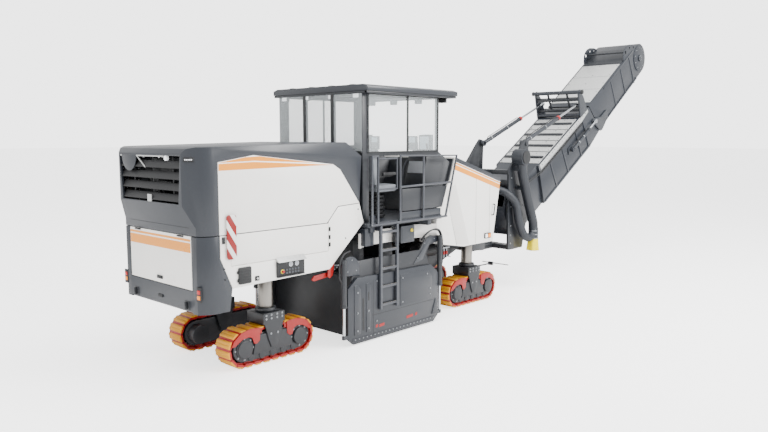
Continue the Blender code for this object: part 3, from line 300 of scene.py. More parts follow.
def tube(points, radius, turn=0.08, sides=4):
    """A round tube or hose along a line, bent where the line turns."""
    deselect()
    bpy.ops.curve.primitive_bezier_curve_add()
    obj = bpy.context.object
    obj.data.splines.clear()
    line = bent(points, turn) if turn else [Vector(p) for p in points]
    spline = obj.data.splines.new("POLY")
    spline.points.add(len(line) - 1)
    for slot, point in zip(spline.points, line):
        slot.co = *point, 1
    obj.location = 0, 0, 0
    obj.data.dimensions = "3D"
    obj.data.bevel_depth = radius
    obj.data.bevel_resolution = sides
    obj.data.use_fill_caps = True
    bpy.ops.object.convert(target="MESH")
    obj = settle(bpy.context.object)
    with editing():
        bpy.ops.mesh.remove_doubles(threshold=0.0001)
        bpy.ops.mesh.normals_make_consistent(inside=False)
    return obj


def copied(obj, place):
    """A copy of a shape with its own mesh, its place in the mesh."""
    new = obj.copy()
    new.data = obj.data.copy()
    new.data.transform(place)
    bpy.context.scene.collection.objects.link(new)
    return new


def repeated(obj, places):
    """Copies of a shape at each place, joined; the first shape is used up."""
    copies = [copied(obj, place) for place in places]
    bpy.data.objects.remove(obj)
    return joined(copies)


def joined(parts):
    """The parts as one object."""
    deselect()
    for part in parts:
        part.select_set(True)
    bpy.context.view_layer.objects.active = parts[0]
    if len(parts) > 1:
        bpy.ops.object.join()
    return bpy.context.object


def bolt_heads(points, outward, radius=None):
    """Hexagon bolt heads on round washers at points of a face that looks outward."""
    radius = sizes().bolt if radius is None else radius
    head = drum((0, 0, 0), (0, 0, radius * 0.95), radius, sides=6, edge=radius * 0.12, steps=1)
    washer = drum((0, 0, -0.001), (0, 0, radius * 0.25), radius * 1.35, sides=12, edge=0)
    turn = Vector(outward).to_track_quat("Z", "Y").to_matrix().to_4x4()
    return repeated(joined([head, washer]), [Matrix.Translation(p) @ turn for p in points])


def dress(obj, name, material, body, replaces=(), smooth=40):
    """Names a finished piece, gives it its material and seats it on its body."""
    only(obj)
    bpy.ops.object.shade_smooth_by_angle(angle=radians(smooth))
    obj.name = name
    obj.data.name = name
    obj.data.materials.clear()
    obj.data.materials.append(material)
    for face in obj.data.polygons:
        face.material_index = 0
    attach(obj, body)
    if replaces:
        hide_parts(*replaces)
    return obj


def merged_copy(node):
    """A CAD node's mesh as one joined skin of flat faces, ready to be shaped."""
    new = copied(frame["nodes"][node], Matrix.Identity(4))
    for key in [k for k in new.keys() if k.startswith("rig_")]:
        del new[key]
    new.parent = None
    new.matrix_world = Matrix.Identity(4)
    new.hide_render = new.hide_viewport = False
    only(new)
    with editing():
        bpy.ops.mesh.remove_doubles(threshold=0.0002)
        bpy.ops.mesh.dissolve_limited(angle_limit=radians(1.5))
    if new.data.has_custom_normals:
        bpy.ops.mesh.customdata_custom_splitnormals_clear()
    return new


# ---- materials


def add(tree, kind, links=None, **settings):
    """One shader node: settings that start with in_ set its sockets by number, links feeds them."""
    node = tree.nodes.new(kind)
    for key, value in settings.items():
        if key.startswith("in_"):
            node.inputs[int(key[3:])].default_value = value
        else:
            setattr(node, key, value)
    for socket, source in (links or {}).items():
        tree.links.new(source, node.inputs[socket])
    return node


def new_material(name, base, roughness, metallic=0.0):
    """A material, with its tree, its shader and the coordinates that patterns follow."""
    material = bpy.data.materials.new(name)
    material.use_nodes = True
    tree = material.node_tree
    shader = tree.nodes["Principled BSDF"]
    shader.inputs["Base Color"].default_value = base
    shader.inputs["Roughness"].default_value = roughness
    shader.inputs["Metallic"].default_value = metallic
    material.diffuse_color = base
    place = add(tree, "ShaderNodeTexCoord").outputs["Object"]
    return material, tree, shader, place


def shaded(base, share):
    """A colour darkened or lightened by a share."""
    return tuple((min(1.0, c * share) for c in base[:3])) + (1.0,)


DUST = linear(0x4B4742)


def enamel(name, base, roughness=0.38, dust=0.25, dust_height=1.1, peel_mm=7.0):
    """Sprayed enamel on steel: even and satin, with faint orange peel, paler road dust low down."""
    material, tree, shader, place = new_material(name, base, roughness)
    cloud = add(tree, "ShaderNodeTexNoise", {"Vector": place}, in_2=1.3, in_3=5.0)
    uneven = add(tree, "ShaderNodeMix", {0: cloud.outputs[0]}, data_type="RGBA", in_6=shaded(base, 0.93),
                 in_7=shaded(base, 1.06))
    height = add(tree, "ShaderNodeSeparateXYZ", {0: place})
    low_down = add(tree, "ShaderNodeMapRange", {0: height.outputs[2]}, in_1=0.0, in_2=dust_height, in_3=1.0,
                   in_4=0.0)
    speckle = add(tree, "ShaderNodeTexNoise", {"Vector": place}, in_2=9.0, in_3=8.0)
    patch = add(tree, "ShaderNodeMath", {0: low_down.outputs[0], 1: speckle.outputs[0]},
                operation="MULTIPLY")
    amount = add(tree, "ShaderNodeMath", {0: patch.outputs[0]}, operation="MULTIPLY", in_1=dust)
    dusty = add(tree, "ShaderNodeMix", {0: amount.outputs[0], 6: uneven.outputs[2]}, data_type="RGBA",
                in_7=DUST)
    tree.links.new(dusty.outputs[2], shader.inputs["Base Color"])
    rough = add(tree, "ShaderNodeMapRange", {0: cloud.outputs[0]}, in_1=0.3, in_2=0.7,
                in_3=roughness - 0.05, in_4=roughness + 0.07)
    tree.links.new(rough.outputs[0], shader.inputs["Roughness"])
    peel = add(tree, "ShaderNodeTexNoise", {"Vector": place}, in_2=1000 / peel_mm, in_3=2.0)
    bump = add(tree, "ShaderNodeBump", {"Height": peel.outputs[0]}, in_0=0.035, in_1=0.001)
    tree.links.new(bump.outputs[0], shader.inputs["Normal"])
    shader.inputs["Coat Weight"].default_value = 0.15
    shader.inputs["Coat Roughness"].default_value = 0.25
    return material


def moulded(name, base, roughness=0.6, grain_mm=5.0, depth=0.12):
    """Moulded plastic or rubber: a dull skin with a fine leathery grain."""
    material, tree, shader, place = new_material(name, base, roughness)
    grain = add(tree, "ShaderNodeTexVoronoi", {"Vector": place}, in_2=1000 / grain_mm)
    bump = add(tree, "ShaderNodeBump", {"Height": grain.outputs[0]}, in_0=depth, in_1=0.001)
    tree.links.new(bump.outputs[0], shader.inputs["Normal"])
    cloud = add(tree, "ShaderNodeTexNoise", {"Vector": place}, in_2=3.0, in_3=4.0)
    worn = add(tree, "ShaderNodeMix", {0: cloud.outputs[0]}, data_type="RGBA", in_6=shaded(base, 0.8),
               in_7=shaded(base, 1.35))
    tree.links.new(worn.outputs[2], shader.inputs["Base Color"])
    return material


def galvanised():
    """Hot-dip galvanised sheet: pale, dull zinc with large soft spangles 30 mm across."""
    base = linear(0xC4C5C4)
    material, tree, shader, place = new_material("galvanised_sheet", base, 0.42, 0.35)
    spangle = add(tree, "ShaderNodeTexVoronoi", {"Vector": place}, in_2=1000 / 30.0)
    blend = add(tree, "ShaderNodeMix", {0: spangle.outputs["Distance"]}, data_type="RGBA",
                in_6=shaded(base, 0.86), in_7=shaded(base, 1.1))
    tree.links.new(blend.outputs[2], shader.inputs["Base Color"])
    rough = add(tree, "ShaderNodeMapRange", {0: spangle.outputs["Distance"]}, in_3=0.34, in_4=0.52)
    tree.links.new(rough.outputs[0], shader.inputs["Roughness"])
    return material


def turned_steel(name, hex_value, roughness, line_mm):
    """Turned or ground steel: bright, with fine marks from the tool along its length."""
    material, tree, shader, place = new_material(name, linear(hex_value), roughness, 1.0)
    lines = add(tree, "ShaderNodeTexNoise", {"Vector": place}, in_2=1000 / line_mm, in_3=3.0)
    rough = add(tree, "ShaderNodeMapRange", {0: lines.outputs[0]}, in_1=0.3, in_2=0.7, in_3=roughness * 0.8,
                in_4=roughness * 1.4)
    tree.links.new(rough.outputs[0], shader.inputs["Roughness"])
    return material


def cast_steel(name, hex_value):
    """Worn cast tool steel: dark, pitted, and rubbed bright in patches."""
    base = linear(hex_value)
    material, tree, shader, place = new_material(name, base, 0.5, 0.8)
    pits = add(tree, "ShaderNodeTexNoise", {"Vector": place}, in_2=60.0, in_3=6.0)
    worn = add(tree, "ShaderNodeMix", {0: pits.outputs[0]}, data_type="RGBA", in_6=shaded(base, 0.6),
               in_7=shaded(base, 1.8))
    tree.links.new(worn.outputs[2], shader.inputs["Base Color"])
    bump = add(tree, "ShaderNodeBump", {"Height": pits.outputs[0]}, in_0=0.3, in_1=0.002)
    tree.links.new(bump.outputs[0], shader.inputs["Normal"])
    return material


def pane_glass():
    """Laminated safety glass: clear, faintly green-grey, with a thin film of dust."""
    material, tree, shader, place = new_material("laminated_glass", linear(0xDDE4E6), 0.04)
    shader.inputs["IOR"].default_value = 1.45
    shader.inputs["Alpha"].default_value = 0.24
    film = add(tree, "ShaderNodeTexNoise", {"Vector": place}, in_2=4.0, in_3=6.0)
    rough = add(tree, "ShaderNodeMapRange", {0: film.outputs[0]}, in_3=0.02, in_4=0.12)
    tree.links.new(rough.outputs[0], shader.inputs["Roughness"])
    return material


def hazard_sheeting():
    """Retroreflective sheeting: red and white diagonal bands 140 mm apart, with a fine prism grain."""
    material, tree, shader, place = new_material("reflective_sheeting", linear(0xE6E3E0), 0.3)
    part = add(tree, "ShaderNodeSeparateXYZ", {0: place})
    slope = add(tree, "ShaderNodeMath", {0: part.outputs[0]}, operation="MULTIPLY", in_1=1.6)
    climb = add(tree, "ShaderNodeMath", {0: part.outputs[2], 1: slope.outputs[0]}, operation="ADD")
    bands = add(tree, "ShaderNodeMath", {0: climb.outputs[0]}, operation="MULTIPLY", in_1=1000 / 255.0)
    share = add(tree, "ShaderNodeMath", {0: bands.outputs[0]}, operation="FRACT")
    red = add(tree, "ShaderNodeMath", {0: share.outputs[0]}, operation="GREATER_THAN", in_1=0.44)
    paint = add(tree, "ShaderNodeMix", {0: red.outputs[0]}, data_type="RGBA", in_6=linear(0xE9E6E3),
                in_7=linear(0x860402))
    tree.links.new(paint.outputs[2], shader.inputs["Base Color"])
    prism = add(tree, "ShaderNodeTexVoronoi", {"Vector": place}, in_2=1000 / 4.0)
    bump = add(tree, "ShaderNodeBump", {"Height": prism.outputs[0]}, in_0=0.05, in_1=0.001)
    tree.links.new(bump.outputs[0], shader.inputs["Normal"])
    return material


def lit(name, hex_value, strength):
    """A lamp's clear or coloured lens, with ribs 8 mm apart and a faint glow behind them."""
    material, tree, shader, place = new_material(name, linear(hex_value), 0.12)
    shader.inputs["Emission Color"].default_value = linear(hex_value)
    shader.inputs["Emission Strength"].default_value = strength
    ribs = add(tree, "ShaderNodeTexWave", {"Vector": place}, in_1=1000 / 8.0 / 6.28)
    bump = add(tree, "ShaderNodeBump", {"Height": ribs.outputs[0]}, in_0=0.2, in_1=0.001)
    tree.links.new(bump.outputs[0], shader.inputs["Normal"])
    return material


def radiator_core():
    """A cooler's core: black fins 12 mm apart, drawn coarser than real so that they show, with painted shade
    in the gaps and paler fin tops.
    """
    material, tree, shader, place = new_material("finned_core", linear(0x1B1C1F), 0.6, 0.4)
    fins = add(tree, "ShaderNodeTexWave", {"Vector": place}, bands_direction="Y", in_1=1000 / 12.0 / 6.28)
    # Painted shade: the tone follows the fins' relief, darker in the gaps and paler on the fin tops; the
    # black of the fins is their own colour.
    tone = add(tree, "ShaderNodeMix", {0: fins.outputs[0]}, data_type="RGBA", in_6=linear(0x0D0E10),
               in_7=linear(0x303338))
    tree.links.new(tone.outputs[2], shader.inputs["Base Color"])
    bump = add(tree, "ShaderNodeBump", {"Height": fins.outputs[0]}, in_0=0.6, in_1=0.004)
    tree.links.new(bump.outputs[0], shader.inputs["Normal"])
    return material


def tread_plate():
    """Steel tread plate: slate paint over raised tears set 28 mm apart, rubbed paler on their tops."""
    base = tuple(colours().slate)
    material, tree, shader, place = new_material("tread_plate", base, 0.5)
    bricks = add(tree, "ShaderNodeTexVoronoi", {"Vector": place}, in_2=1000 / 28.0, feature="SMOOTH_F1")
    raised = add(tree, "ShaderNodeMapRange", {0: bricks.outputs[0]}, in_1=0.15, in_2=0.3, in_3=1.0,
                 in_4=0.0)
    worn = add(tree, "ShaderNodeMix", {0: raised.outputs[0]}, data_type="RGBA", in_6=shaded(base, 0.9),
               in_7=shaded(base, 1.7))
    tree.links.new(worn.outputs[2], shader.inputs["Base Color"])
    bump = add(tree, "ShaderNodeBump", {"Height": raised.outputs[0]}, in_0=0.6, in_1=0.002)
    tree.links.new(bump.outputs[0], shader.inputs["Normal"])
    return material


MATERIALS = {}


def make_materials():
    tone = colours()
    MATERIALS.update({"slate": enamel("slate_enamel", tuple(tone.slate), 0.36, dust=0.18),
                      "slate_dark": enamel("slate_frame_enamel", shaded(tone.slate, 0.62), 0.45, dust=0.2,
            dust_height=1.6), "white": enamel("white_enamel", tuple(tone.white), 0.3, dust=0.06),
                      "orange": enamel("orange_stripe_film", tuple(tone.orange), 0.3, dust=0.0),
                      "red": enamel("red_enamel", tuple(tone.red), 0.4, dust=0.05),
                      "pad": moulded("polyurethane_pad", tuple(tone.yellow), 0.55, grain_mm=9.0,
            depth=0.25), "nozzle": moulded("yellow_sleeve_sheeting", linear(0xE6CC02), 0.5, grain_mm=6.0,
            depth=0.2), "black": moulded("black_moulding", linear(0x17181A), 0.55),
                      "rubber": moulded("hose_rubber", linear(0x202124), 0.7, grain_mm=3.0),
                      "duct": moulded("duct_moulding", shaded(tone.slate, 0.75), 0.5, grain_mm=4.0),
                      "seat": moulded("grey_seat_vinyl", linear(0x7D8187), 0.62, grain_mm=3.5, depth=0.3),
                      "zinc": galvanised(), "rail": enamel("rail_enamel", linear(0x383B42), 0.38, dust=0.1),
                      "edge": enamel("black_seam_enamel", linear(0x0C0C0E), 0.6, dust=0.0),
                      "grey": enamel("light_grey_enamel", linear(0x9A9DA2), 0.4, dust=0.1),
                      "chrome": turned_steel("hard_chrome", 0xC9CCD0, 0.12, 3.0),
                      "steel": turned_steel("ground_steel", 0x8E8A84, 0.3, 6.0),
                      "bolt": turned_steel("zinc_plated_bolt", 0x9DA0A3, 0.38, 4.0),
                      "tool": cast_steel("worn_tool_steel", 0x54524F), "glass": pane_glass(),
                      "hazard": hazard_sheeting(), "lens": lit("clear_lens", 0xF4F6F8, 0.6),
                      "amber": lit("amber_lens", 0xF28A12, 0.4), "red_lens": lit("red_lens", 0xB3120C, 0.3),
                      # Painted shade: a darker copy of the white paint, standing in for the shading of a
                      # shallow sloping facet that is not modelled.
                      "pale": enamel("shaded_white_enamel", shaded(tuple(tone.white), 0.8), 0.34,
            dust=0.12), "screen": lit("display_screen", 0xBFD4DE, 0.7), "core": radiator_core(),
                      "tread": tread_plate()})


def finish(obj, name, paint, body="chassis", replaces=(), smooth=40):
    """Finishes a piece, or a list of parts as one piece, in a paint."""
    obj = joined(obj) if isinstance(obj, list) else obj
    return dress(obj, name, MATERIALS[paint], body, replaces, smooth)


# ---- panels and frames

PAINTS = {"slate": ("rear_frame", "hood_shell", "canopy_roof", "conveyor_lower", "conveyor_upper",
                    "goalpost", "side_plate_right", "side_plate_left", "lift_barrel_right",
                    "lift_barrel_left", "fold_barrel_right", "fold_barrel_left"),
          "slate_dark": ("main_frame", "engine_block", "dashboard", "canopy_frame", "drum_housing",
                         "scraper_blade", "primary_conveyor", "slew_bracket", "slew_frame",
                         "bogie_rear_right", "bogie_rear_left", "bogie_front_right", "bogie_front_left"),
          "tread": ("operator_platform",), "white": ("rear_flap", "hood_side_right", "hood_side_left",
        "side_panel_right", "side_panel_left", "service_door_right", "service_door_left", "front_body"),
          "black": ("cooling_fan",), "core": ("radiator",), "duct": ("dust_duct",),
          "rail": ("railing_right", "railing_left", "ladder_right", "ladder_left"),
          "chrome": ("lift_rod_right", "lift_rod_left", "fold_rod_right", "fold_rod_left"),
          "tool": ("milling_drum",), "glass": ("rear_window", "right_window", "left_window")}


def body_of(node):
    """The CAD body that a node rides on."""
    return frame["nodes"][node]["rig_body"]


def dress_panels():
    """Every plain CAD body in its paint, with its sheet edges rounded."""
    for paint, nodes in PAINTS.items():
        for node in nodes:
            skin = merged_copy(node)
            if paint != "glass":
                rounded(skin, sizes().edge, 2, 32)
            finish(skin, f"{node}_skin", paint, body_of(node), (node,))


# ---- tracks

LOOP_LENGTH = high("track_rear_right", "x") - low("track_rear_right", "x")
LOOP_HEIGHT = high("track_rear_right", "z") - low("track_rear_right", "z")
PAD_HALF = (high("track_rear_right", "y") - low("track_rear_right", "y")) / 2
STRAIGHT = LOOP_LENGTH - LOOP_HEIGHT
LAP = 2 * STRAIGHT + pi * LOOP_HEIGHT


def loop_frame(run):
    """Where a track's outer face is after a run along it, and how far it has turned."""
    radius = LOOP_HEIGHT / 2
    run %= LAP
    if run < STRAIGHT:
        return run - STRAIGHT / 2, 0.0, 0.0
    run -= STRAIGHT
    if run < pi * radius:
        turn = run / radius
        return STRAIGHT / 2 + radius * sin(turn), radius - radius * cos(turn), turn
    run -= pi * radius
    if run < STRAIGHT:
        return STRAIGHT / 2 - run, LOOP_HEIGHT, pi
    turn = pi + (run - STRAIGHT) / radius
    return -STRAIGHT / 2 + radius * sin(turn), radius - radius * cos(turn), turn


def loop_place(run, centre):
    """Carries a shape made at the origin, its outer face down on z = 0, to its place round the track."""
    x, z, turn = loop_frame(run)
    return Matrix.Translation(centre + Vector((x, 0, z))) @ Matrix.Rotation(-turn, 4, "Y")


def pad_shape(pitch):
    """A polyurethane pad: one broad lug with chamfered ends and a shallow groove across it."""
    half = pitch * 0.345
    top, foot = 0.03, 0.003
    outline = [(-half, top), (-half, 0.018), (-half + 0.016, foot), (-0.01, foot), (-0.005, 0.008),
               (0.005, 0.008), (0.01, foot), (half - 0.016, foot), (half, 0.018), (half, top)]
    return plate(outline, "y", -PAD_HALF + 0.001, PAD_HALF - 0.001, 0.005, 1)


def shoe_shape(pitch):
    """The steel shoe under a pad: a ribbed plate with its two chain links."""
    reach = pitch * 0.49
    outline = [(-reach, 0.029), (-pitch * 0.36, 0.023), (pitch * 0.36, 0.023), (reach, 0.029),
               (reach, 0.047), (pitch * 0.3, 0.058), (-pitch * 0.3, 0.058), (-reach, 0.047)]
    parts = [plate(outline, "y", -PAD_HALF + 0.002, PAD_HALF - 0.002, 0.003, 1)]
    for y in (-0.095, 0.095):
        parts.append(plate([(-pitch * 0.46, 0.055), (pitch * 0.46, 0.055), (pitch * 0.36, 0.079),
                            (-pitch * 0.36, 0.079)], "y", y - 0.016, y + 0.016, 0.002, 1))
    return joined(parts)


def dress_tracks():
    """The four tracks: yellow pads on red shoes and links, all the way round."""
    pitch = LAP / sizes().pads
    for end in ENDS:
        for side, hand in SIDES:
            node = f"track_{end}_{hand}"
            centre = Vector((middle(node, "x"), middle(node, "y"), low(node, "z")))
            places = [loop_place((i + 0.5) * pitch, centre) for i in range(sizes().pads)]
            pads = repeated(pad_shape(pitch), places)
            finish(pads, f"{node}_pads", "pad", body_of(node), (node,))
            shoes = repeated(shoe_shape(pitch), places)
            finish(shoes, f"{node}_shoes", "red", body_of(node))
            dress_bogie(end, side, hand, centre)


def dress_bogie(end, side, hand, centre):
    """What is bolted to a track's frame: red guards, hub, rollers, saddle bolts and the bright column."""
    node = f"track_{end}_{hand}"
    body = body_of(node)
    y = centre.y
    near = y + side * (PAD_HALF + 0.004)
    far = y + side * (PAD_HALF + 0.02)
    guards = []
    for lean in (-1, 1):
        hooked = [(0.235, 0.535), (0.4, 0.552), (0.56, 0.52), (0.68, 0.425), (0.72, 0.345), (0.66, 0.35),
                  (0.54, 0.425), (0.43, 0.44), (0.375, 0.415), (0.345, 0.33), (0.3, 0.318), (0.245, 0.36)]
        outline = [(centre.x + lean * a, centre.z + b) for a, b in hooked]
        guards.append(plate(outline, "y", near, far, 0.005))
        lug = [(centre.x + lean * a, centre.z + b) for a, b in ((0.2, 0.45), (0.27, 0.45), (0.27, 0.5),
                (0.2, 0.5))]
        guards.append(plate(lug, "y", y + side * (PAD_HALF - 0.02), near + side * 0.002, 0.003))
    finish(guards, f"{node}_guards", "red", body)
    hubs, rings = [], []
    axle_z = centre.z + LOOP_HEIGHT / 2
    for x in (centre.x - STRAIGHT / 2, centre.x + STRAIGHT / 2):
        hubs.append(drum((x, y + side * 0.1, axle_z), (x, y + side * 0.146, axle_z), 0.17, 36, 0.006))
        hubs.append(drum((x, y + side * 0.14, axle_z), (x, y + side * 0.186, axle_z), 0.125, 32, 0.01, 3))
        ring = [Vector((x + 0.148 * cos(a * pi / 4), y + side * 0.146, axle_z + 0.148 * sin(a * pi / 4)))
                for a in range(8)]
        rings.append(bolt_heads(ring, (0, side, 0)))
    for i in range(5):
        x = centre.x + (i - 2) * 0.19
        hubs.append(drum((x, y + side * 0.1, centre.z + 0.135), (x, y + side * 0.158, centre.z + 0.135),
                         0.055, 20, 0.005))
    beam = [(centre.x - 0.36, axle_z - 0.11), (centre.x + 0.36, axle_z - 0.11),
            (centre.x + 0.3, axle_z + 0.16), (centre.x - 0.3, axle_z + 0.16)]
    hubs.append(plate(beam, "y", y + side * 0.1, y + side * 0.172, 0.012))
    finish(hubs, f"{node}_wheels", "slate_dark", body)
    face = y + side * (PAD_HALF + 0.034)
    spots = [Vector((centre.x + dx, face, z)) for dx in (-0.14, -0.05, 0.05, 0.14) for z in (0.64, 0.69)]
    spots += [Vector((centre.x + dx, face, 0.42)) for dx in (-0.06, 0.06)]
    rings.append(bolt_heads(spots, (0, side, 0)))
    finish(rings, f"{node}_bolts", "bolt", body)
    column = drum((centre.x, y, 0.722), (centre.x, y, 1.23), 0.1065, 40, 0.002)
    collar = drum((centre.x, y, 0.722), (centre.x, y, 0.775), 0.15, 32, 0.01)
    finish(column, f"{node}_column", "steel", body)
    finish(collar, f"{node}_collar", "slate_dark", body)


def dress_drum():
    """The milling drum's picks: two helices of tungsten-tipped points in their holders."""
    centre = Vector(JOINTS["drum_spin"]["pos_m"])
    half = (high("milling_drum", "y") - low("milling_drum", "y")) / 2
    radius = (high("milling_drum", "z") - low("milling_drum", "z")) / 2
    holder = drum((0, 0, radius - 0.125), (0, 0, radius - 0.045), 0.03, 6, 0.004, 1, 0.022)
    point = drum((0, 0, radius - 0.05), (0, 0, radius - 0.002), 0.016, 8, 0.001, 1, 0.004)
    pick = joined([holder, point])
    places = []
    rows = 34
    for i in range(rows):
        for start in range(3):
            share = (i + start / 3) / rows
            y = -half + 0.04 + (2 * half - 0.08) * share
            turn = abs(share - 0.5) * 2 * 2.4 * pi + start * 2 * pi / 3
            lean = Matrix.Rotation(radians(14), 4, "Y")
            at_surface = Matrix.Translation((0, 0, radius - 0.12)) @ lean @ Matrix.Translation((0, 0,
                    0.12 - radius))
            places.append(Matrix.Translation(centre + Vector((0, y, 0))) @ Matrix.Rotation(turn, 4,
                    "Y") @ Matrix.Diagonal((1, 1, 0.985, 1)) @ at_surface)
    finish(repeated(pick, places), "drum_picks", "tool", body_of("milling_drum"))


# ---- rear


def rear_plate(y, z, x_near, x_far, edge=0.003):
    """A block on the rear face: y and z give its extent, x_near and x_far how far back it stands."""
    return block(at(x_near, y[0], z[0]), at(x_far, y[1], z[1]), edge)


def fit_rear():
    """Fits the rear: grille slats, guard bar, lamps, the flap's stripes and its latches"""
    slats = []
    for i in range(4):
        z = 2.425 + 0.142 * i
        half = 0.715 + 0.014 * i
        outline = [(X0 - 1.412, z - 0.048), (X0 - 1.402, z - 0.052), (X0 - 1.352, z + 0.04),
                   (X0 - 1.362, z + 0.046)]
        slats.append(plate(outline, "y", -half, half, 0.003))
    for y in (-0.5, 0.0, 0.5):
        slats.append(block(at(-1.348, y - 0.012, 2.36), at(-1.338, y + 0.012, 2.95), 0.003))
    finish(slats, "rear_slats", "black", "hood", ("rear_grille",))
    half_disc = [(0.52 + 0.2 * cos(a), 2.96 + 0.22 * sin(a)) for a in [pi + pi * i / 16 for i in range(17)]]
    shield = plate([(y, z) for y, z in half_disc], "x", X0 - 1.418, X0 - 1.405, 0.003)
    finish(shield, "rear_shield", "slate", "hood")
    bar = [tube([at(GUARD_X, 0.74, 2.955), at(GUARD_X, -0.36, 2.955)], 0.013, 0),
           tube([at(GUARD_X, 0.33, 2.955), at(GUARD_X, 0.1, 2.8)], 0.009, 0)]
    for y in (0.74, -0.36):
        bar.append(drum(at(-1.402, y - 0.02, 2.955), at(-1.402, y + 0.02, 2.955), 0.017, 16))
    for y in (0.6, 0.15, -0.25):
        bar.append(block(at(GUARD_X, y - 0.015, 2.93), at(-1.39, y + 0.015, 2.98), 0.003))
    finish(bar, "rear_guard_bar", "zinc", "hood")
    finish(drum(at(-1.416, -0.43, 2.93), at(-1.38, -0.43, 2.93), 0.034, 24), "rear_round_lamp", "lens",
           "hood")
    finish(rear_plate((-0.05, 0.05), (2.335, 2.445), -1.419, -1.405), "grille_latch", "zinc", "hood")
    finish(rear_plate((-0.76, 0.76), (2.04, 2.046), -1.3015, -1.298, 0.0005), "hood_seam", "black", "hood")
    reach = 0.775
    film = sizes().decal
    bands = [rear_plate((-reach, reach), z, REAR_FACE - film, REAR_FACE, 0)
             for z in ((1.868, 1.898), (1.722, 1.848))]
    finish(bands, "flap_stripes", "orange", "rear_flap")
    latch = [rear_plate((-0.07, 0.07), (1.29, 1.335), -1.313, REAR_FACE),
             drum(at(-1.318, -0.04, 1.312), at(REAR_FACE, -0.04, 1.312), 0.012, 16)]
    finish(latch, "flap_latch", "black", "rear_flap")
    hinges = [drum(at(-1.312, y - 0.07, 1.925), at(-1.312, y + 0.07, 1.925), 0.011, 16)
              for y in (-0.55, 0.55)]
    finish(hinges, "flap_hinges", "black", "rear_flap")
    finish(rear_plate((-0.06, 0.06), (1.035, 1.075), -1.312, REAR_FACE), "bumper_latch", "black")
    eyes = []
    for y in (-0.66, 0.66):
        eyes.append(block(at(-1.298, y - 0.018, 0.975), at(-1.345, y + 0.018, 1.075), 0.01))
        eyes.append(block(at(-1.306, y - 0.06, 0.965), at(REAR_FACE, y + 0.06, 1.085), 0.004))
    finish(eyes, "tow_eyes", "slate_dark")
    for side, hand in SIDES:
        along, out = Vector((0.735, 0.678)), Vector((-0.678, 0.735))
        start = Vector((-1.412, 0.807))
        spots = [start + along * 0.02 + out * 0.001, start + along * 0.155 + out * 0.001,
                 start + along * 0.145 + out * 0.014, start + along * 0.03 + out * 0.014]
        spots = [(X0 + p.x, side * p.y) for p in spots]
        finish(plate(spots, "z", 2.888, 2.944, 0.004), f"post_lamp_{hand}", "black", "hood")
        lenses = []
        for i in range(5):
            p = start + along * (0.047 + 0.02 * i) + out * 0.011
            tip = p + out * 0.006
            lenses.append(drum(at(p.x, side * p.y, 2.916), at(tip.x, side * tip.y, 2.916), 0.008, 12, 0.001,
                               1))
        finish(lenses, f"post_lamp_lenses_{hand}", "lens", "hood")
        tail = [block(at(-1.307, side * 0.9, 1.1), at(-1.29, side * 0.99, 1.3), 0.006)]
        finish(tail, f"tail_lamp_case_{hand}", "black")
        for index, (z, paint) in enumerate(((1.235, "red_lens"), (1.165, "amber"))):
            glass = block(at(-1.313, side * 0.912, z - 0.026), at(REAR_FACE, side * 0.978, z + 0.026),
                          0.005)
            finish(glass, f"tail_lens_{hand}_{index}", paint)


# ---- flanks


def flank_bolts(side, spots, y, radius=None):
    """Bolt heads on one flank."""
    return bolt_heads([at(x, side * y, z) for x, z in spots], (0, side, 0), radius)


def fit_flanks():
    """Fits both flanks: stripes, hazard boards, hinges, control panel, boxes and the red lever"""
    film = sizes().decal
    for side, hand in SIDES:
        thick = [(-1.022, 2.772), (-1.022, 2.858), (-0.47, 2.872), (0.945, 2.793), (0.3, 2.788)]
        thin = [(-1.022, 2.872), (-0.6, 2.936), (-0.38, 2.944), (0.6, 2.832), (-0.47, 2.886)]
        bands = [side_plate_of(side, outline, BODY_HALF - 0.001, BODY_HALF + film, 0)
                 for outline in (thick, thin)]
        finish(bands, f"hood_stripes_{hand}", "orange", "hood")
        board = flank_box(side, (-0.94, -0.79), (1.62, 2.2), 0.035, BODY_HALF + 0.022, BODY_HALF + 0.03,
                          0.002)
        finish(board, f"hazard_board_{hand}", "hazard", f"{hand}_door")
        stays = [flank_box(side, (-0.885, -0.845), z, 0.006, BODY_HALF + 0.003, BODY_HALF + 0.023, 0.003)
                 for z in ((1.66, 1.7), (1.86, 1.9))]
        finish(stays, f"hazard_stays_{hand}", "black", f"{hand}_door")
        latch = flank_box(side, (-1.0, -0.955), (1.83, 1.92), 0.008, BODY_HALF, BODY_HALF + 0.014)
        finish(latch, f"door_latch_{hand}", "black")
        pins = []
        for z in (1.62, 1.73, 1.85):
            pins.append(drum(at(0.866, side * (BODY_HALF + 0.009), z - 0.032),
                             at(0.866, side * (BODY_HALF + 0.009), z + 0.032), 0.009, 16))
            pins.append(flank_box(side, (0.855, 0.892), (z - 0.028, z + 0.028), 0.004, BODY_HALF,
                                  BODY_HALF + 0.005, 0.001))
        finish(pins, f"door_hinges_{hand}", "black")
        dots = [(1.47, 2.1), (1.2, 1.68), (-0.97, 1.5), (-0.96, 1.36)]
        finish(flank_bolts(side, dots, BODY_HALF, 0.009), f"flank_screws_{hand}", "black")
        seam = [side_plate_of(side, [(-1.02, 1.9365), (0.845, 1.9365), (1.062, 2.1665), (1.49, 2.1865),
                (1.49, 2.1945), (1.058, 2.1745), (0.838, 1.9435), (-1.02, 1.9435)], BODY_HALF - 0.026,
                              BODY_HALF - 0.001, 0)]
        finish(seam, f"hood_joint_{hand}", "edge")
        fit_power_box(side, hand)
        fit_control_panel(side, hand)
        fit_lever(side, hand)


